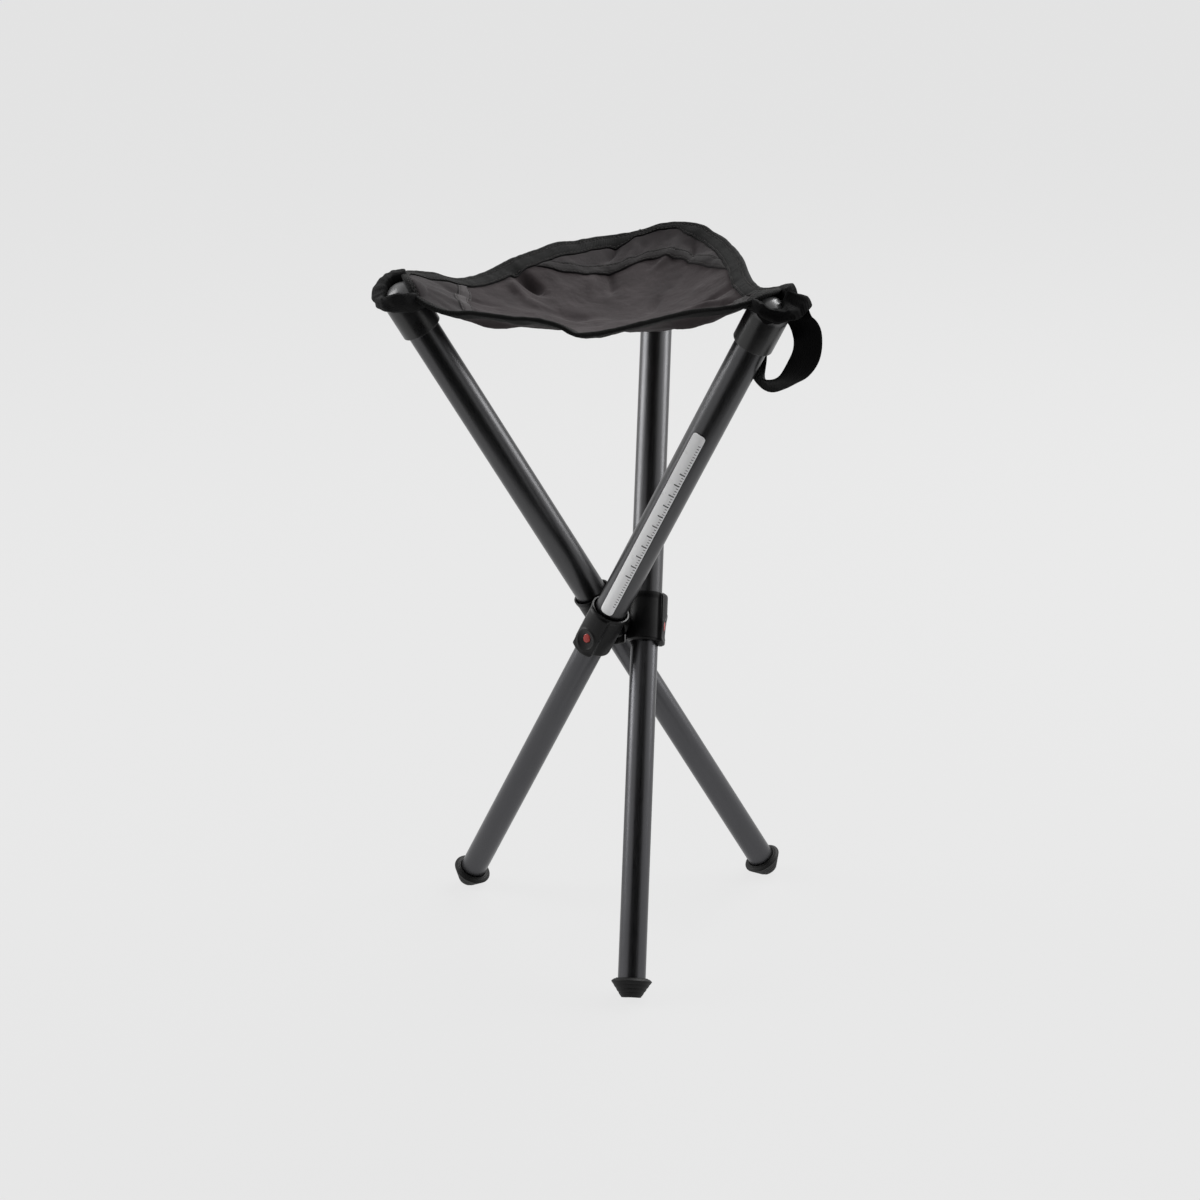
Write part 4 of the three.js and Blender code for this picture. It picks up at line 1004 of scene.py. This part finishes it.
def hem(corner):
    """Hem tape folded over the rim of one petal, narrow over the cap."""
    turn = np.linspace(-PETAL_HALF, PETAL_HALF, HEM_COLUMNS)
    azimuth = CORNERS[corner] + turn
    width = hem_width(corner, turn)
    # Round the section: inner edge on top, over the rim, and back below
    rows, lifts = [], []
    for share in HEM_TOP_ROWS:
        grooves = sum(math.exp(-((share - sewn) / HEM_GROOVE_WIDTH) ** 2) for sewn in HEM_STITCHES)
        rows.append(width * share)
        lifts.append(HEM_LIFT * (0.25 if share == 1.0 else 1.0) - HEM_GROOVE * grooves)
    half = (HEM_LIFT + CLOTH + HEM_DROP) / 2
    for angle in np.radians(np.linspace(90, -90, 9)):
        rows.append(-half * math.cos(angle) + 0 * width)
        lifts.append(HEM_LIFT - half + half * math.sin(angle))
    for share in HEM_UNDER_ROWS:
        rows.append(width * share)
        lifts.append(-CLOTH - (HEM_DROP if share < 1 else -0.3))
    inset = np.array(rows)
    lift = np.array(lifts)[:, None] + 0 * inset
    lift = lift + HEM_WAVER * soft_noise(azimuth * 1.7, 0 * azimuth, 4.0, 10) * np.sign(lift + CLOTH / 2)
    points = to_stool(on_seat(azimuth + 0 * inset, inset, lift)[0])
    place = np.stack([inset, np.radians(azimuth) * HEM_RADIUS + 0 * inset, 0 * inset], -1).reshape(-1, 3)
    faces = grid_faces(*inset.shape, wrap_rows=True) + end_columns(*inset.shape)
    return piece(f"hem_{corner}", points, faces, "hem", place, sharp=60)


def stitch_run(points, normals):
    """Stitches along a line: short threads that arch over the cloth."""
    far = lengths_to(points)
    around = full_turn(STITCH_SIDES)
    made_points, made_faces = [], []
    for middle in np.arange(STITCH_PITCH, far[-1] - STITCH_PITCH, STITCH_PITCH):
        start, end = (np.array([np.interp(at, far, column) for column in points.T])
                      for at in (middle - STITCH_LENGTH / 2, middle + STITCH_LENGTH / 2))
        normal = np.array([np.interp(middle, far, column) for column in normals.T])
        way = end - start
        side = np.cross(normal, way)
        side /= np.linalg.norm(side)
        first = len(made_points) * STITCH_SIDES
        for share in STITCH_SHARES:
            centre = start + way * share + normal * (STITCH_WIDTH * (1.1 * math.sin(math.pi * share) - 0.25))
            thick = STITCH_WIDTH / 2 * (0.35 + 0.65 * math.sin(math.pi * min(max(share, 0.1), 0.9)))
            circle = np.cos(around)[:, None] * side + np.sin(around)[:, None] * normal
            made_points.append(centre + thick * circle)
        made_faces += grid_faces(len(STITCH_SHARES), STITCH_SIDES, wrap_columns=True, first=first)
        made_faces += end_rows(len(STITCH_SHARES), STITCH_SIDES, first)
    return np.concatenate(made_points), made_faces


def stitches(corner, mouth_line):
    """Every sewn row of a petal: two in the hem and two along the pocket's mouth."""
    turn = np.linspace(0.5 - PETAL_HALF, PETAL_HALF - 0.5, 400)
    width = hem_width(corner, turn)
    runs = [on_seat(CORNERS[corner] + turn, width * share, HEM_LIFT - 0.3) for share in HEM_STITCHES]
    around, mouth, reach = mouth_line
    for row in STITCH_ROWS:
        keep = mouth + row < reach - HEM_WIDTH
        share = ((mouth + row) / reach)[keep]
        runs.append(on_seat(around[keep], lift=PANEL_LIFT + BAND_LIFT - 0.35, share=share))
    points, faces, first = [], [], 0
    for line, normal in runs:
        if len(line) < 8:
            continue
        found, shown = stitch_run(line, normal)
        points.append(found)
        faces += [[first + k for k in face] for face in shown]
        first += len(found)
    points = to_stool(*points)
    return piece(f"stitching_{corner}", points, faces, "thread", points)


def seat():
    for corner in LEGS:
        cloth = petal(corner)
        cover, mouth_line = panel(corner)
        tape = hem(corner)
        sewn = stitches(corner, mouth_line)
        for made in (cloth, cover, tape, sewn):
            blended(made)
        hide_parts("seat_sling")
        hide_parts(f"edge_binding_{corner}")


def under_cloth(leg, points):
    """Pulls a pocket's points down where the seat's cloth passes over them."""
    x, y, height = (on_leg(leg, points) - HUB_LEVEL).T
    past_rim = np.hypot(x, y) - rim_radius(np.degrees(np.arctan2(y, x)))
    lowest = seat_height(x, y) - CLOTH - BAND_CLEARANCE
    height = height - (1 - smooth_step(past_rim, -4.0, -0.5)) * np.maximum(height - lowest, 0)
    return to_stool(np.stack([x, y, height], -1))


def cap_dome(radius):
    """Height of a cap's dome at a distance from its axis."""
    return CAP_SHOULDER + (CAP_TOP - CAP_SHOULDER) * np.sqrt(np.maximum(1 - (radius / CAP_RADIUS) ** 2, 0))


def corner_band(leg):
    """Soft pocket wall round a cap: it hugs the cap below, bulges, and may lean in over the dome."""
    angles, *walls = zip(*BAND_WALLS[leg])
    angle = np.linspace(angles[0], angles[-1], BAND_COLUMNS)
    low, top, bulge, lean = (smooth_line(np.interp(angle, angles, values), WALL_PASSES) for values in walls)
    seed = 20 + LEGS.index(leg)

    def waver(size, level, offset):
        """Noise round the wall, with bumps of a size in degrees, at a level of the wall."""
        return soft_noise(angle / size, level + 0 * angle, 1.0, seed + offset)

    low, top = (level + 0.5 * waver(9.0, 0, 9) for level in (low, top))
    reach, level = [], []
    for radius, share in BAND_SECTION:
        crease = soft_noise(angle / 30.0 + 1.3 * share, share * 7.0 + 0 * angle, 1.0, seed + 5)
        full = math.sin(math.pi * share)
        reach.append(radius + bulge * (0.35 + 0.65 * full)
                     + (0.6 * waver(13.0, share * 3.0, 0) + 1.0 * crease) * (0.2 + 0.8 * full))
        level.append(low + (top - low) * share)
    roll, inner = reach[-1], CAP_RADIUS + 1.3 - lean
    for step in ROLL_STEPS:
        radius = roll * (1 - step) + inner * step
        crease = soft_noise(angle / 17.0 + 2 * step, step * 4.0 + 0 * angle, 1.0, seed + 2)
        sunk = top - 0.1 * lean * step - 0.9 * step**6 + 0.8 * crease * math.sin(math.pi * step)
        reach.append(radius)
        level.append(np.maximum(sunk, cap_dome(radius) + 0.9 * (1 - step**8) + 0.35))
    # Back down inside: along the dome to the cap's side, and down it to the wall's foot
    side = CAP_RADIUS + 0.35
    reach += [inner, inner + (side - inner) * 0.5, inner + (side - inner)]
    level += [cap_dome(radius) + 0.3 for radius in reach[-3:-1]] + [low + 0.5]
    turn = np.radians(angle)
    local = np.array([ring(radius, turn, height) for radius, height in zip(reach, level)]).reshape(-1, 3)
    faces = grid_faces(len(reach), BAND_COLUMNS, wrap_rows=True) + end_columns(len(reach), BAND_COLUMNS)
    around = np.tile(turn, len(reach)) * POCKET_RADIUS
    place = np.stack([local[:, 2] + np.hypot(local[:, 0], local[:, 1]), around, 0 * around], -1)
    finish = "webbing" if leg == "a" else "pocket"
    band = piece(f"corner_band_{leg}", under_cloth(leg, local), faces, finish, place, sharp=70)
    dressed(band, f"upper_leg_{leg}", f"corner_pocket_{leg}")


def carry_strap():
    """Webbing loop that hangs at the corner of leg a."""
    stations = spline(STRAP, STRAP_STEPS)
    centre, across = stations[:, :3], stations[:, 3:]
    along = np.gradient(centre, axis=0)
    along /= np.linalg.norm(along, axis=1, keepdims=True)
    across = across - (across * along).sum(1)[:, None] * along
    across /= np.linalg.norm(across, axis=1, keepdims=True)
    normal = np.cross(along, across)
    far = lengths_to(centre)
    half, thick = STRAP_WIDTH / 2, STRAP_THICKNESS / 2
    section = [*STRAP_SECTION, *((x, -z) for x, z in STRAP_SECTION[-2:0:-1])]
    rows = [centre + across * half * x + normal * thick * z for x, z in section]
    points = np.array(rows).transpose(1, 0, 2).reshape(-1, 3)
    place = np.stack([np.tile([x * half for x, z in section], STRAP_STEPS), np.repeat(far, len(section)),
                      np.zeros(len(points))], -1)
    size = (STRAP_STEPS, len(section))
    faces = grid_faces(*size, wrap_columns=True) + end_rows(*size)
    made = piece("strap_loop", on_leg("a", points), faces, "webbing", place, sharp=60)
    dressed(made, "upper_leg_a", "carry_strap")


# Camera, lights and floor


def add_camera():
    """The photograph's camera: yaw from +Y towards +X, pitch down."""
    yaw, pitch, roll = (math.radians(angle) for angle in (CAMERA_YAW, CAMERA_PITCH, CAMERA_ROLL))
    forward = Vector((math.sin(yaw) * math.cos(pitch), math.cos(yaw) * math.cos(pitch), -math.sin(pitch)))
    right = Vector((math.cos(yaw), -math.sin(yaw), 0))
    up = right.cross(forward)
    tilted = right * math.cos(roll) + up * math.sin(roll)
    upright = up * math.cos(roll) - right * math.sin(roll)
    camera = linked("camera", bpy.data.cameras.new("camera"))
    camera.matrix_world = Matrix((tilted, upright, -forward)).transposed().to_4x4()
    camera.matrix_world.translation = Vector(CAMERA_PLACE) * MM
    camera.data.lens, camera.data.sensor_width, camera.data.clip_end = CAMERA_LENS, CAMERA_SENSOR, CAMERA_END
    camera.data.shift_x, camera.data.shift_y = CAMERA_SHIFT
    bpy.context.scene.camera = camera


def add_world():
    world = bpy.data.worlds.new("studio")
    nodes = Nodes(world, bare=True)
    soft, pale = (nodes.one_color("Background", color) for color in (FILL, BACKDROP))
    nodes.shown_or_lit("OutputWorld", pale, soft)
    bpy.context.scene.world = world


def stage_piece(name, points, faces):
    """A piece of the stage, and the empty node tree of its material."""
    mesh = bpy.data.meshes.new(name)
    mesh.from_pydata(points, [], faces)
    made = linked(name, mesh)
    mesh.materials.append(bpy.data.materials.new(name))
    return made, Nodes(mesh.materials[0], bare=True)


def add_floor():
    """A pale round floor that reaches past the camera's view and keeps a soft shadow."""
    points = [(FLOOR_REACH * math.cos(t), FLOOR_REACH * math.sin(t), 0) for t in full_turn(FLOOR_SIDES)]
    nodes = stage_piece("floor", points, [tuple(range(FLOOR_SIDES))])[1]
    glowing = {0: nodes.one_color("BsdfDiffuse", FLOOR_LIT), 1: nodes.one_color("Emission", FLOOR_GLOW)}
    shown = nodes.add("AddShader", glowing).outputs[0]
    nodes.shown_or_lit("OutputMaterial", shown, nodes.one_color("BsdfDiffuse", FLOOR_PLAIN))


def beside_camera(turn, far, height):
    """A place round the stool in metres: degrees anticlockwise from the camera, seen from above."""
    angle = math.atan2(CAMERA_PLACE[1], CAMERA_PLACE[0]) + math.radians(turn)
    return (far * math.cos(angle), far * math.sin(angle), height)


def add_lamps():
    for name, (turn, far, height, wide, tall, power) in LAMPS.items():
        data = bpy.data.lights.new(name, "AREA")
        data.shape = "RECTANGLE"
        data.size, data.size_y, data.energy = wide, tall, power
        place = Vector(beside_camera(turn, far, height))
        matrix = (Vector(LAMP_TARGET) - place).to_track_quat("-Z", "Y").to_matrix().to_4x4()
        matrix.translation = place
        linked(name, data).matrix_world = matrix


def add_card():
    """A black card on the camera's side, over floor and air, which only shows as a reflection."""
    outline = ((CARD_NEAR, CARD_LOW), (CARD_FAR, CARD_LOW), (CARD_FAR, CARD_HIGH))
    turns = np.linspace(*CARD_TURNS, CARD_COLUMNS)
    points = [beside_camera(turn, *edge) for edge in outline for turn in turns]
    card, nodes = stage_piece("card", points, grid_faces(len(outline), CARD_COLUMNS))
    nodes.add("OutputMaterial", {0: nodes.one_color("Emission", CARD_COLOR)})
    card.visible_camera = card.visible_diffuse = card.visible_shadow = card.visible_transmission = False


def dress_kept_nodes():
    """Finishes for the CAD nodes that stay: inner pieces and fasteners."""
    kept = {"guide_bush": "guide_plain", "lock_clip": "steel_plain", "button_spring": "steel_plain",
            "pivot_rivet": "steel_plain"}
    for leg in LEGS:
        for name, finish in kept.items():
            for slot in frame["nodes"][f"{name}_{leg}"].material_slots:
                slot.material = FINISHES[finish]


add_world()
add_floor()
add_lamps()
add_card()
add_camera()
for name in LEGS:
    tube(name, "upper", UPPER_RADIUS, UPPER_BORE, UPPER_LOW, UPPER_HIGH)
    tube(name, "lower", LOWER_RADIUS, LOWER_BORE, LOWER_LOW, LOWER_HIGH)
    end_cap(name)
    foot_piece(name)
    collar(name)
    push_button(name)
    corner_band(name)
hub()
label()
carry_strap()
seat()
dress_kept_nodes()

bpy.context.scene.view_settings.view_transform = "Standard"
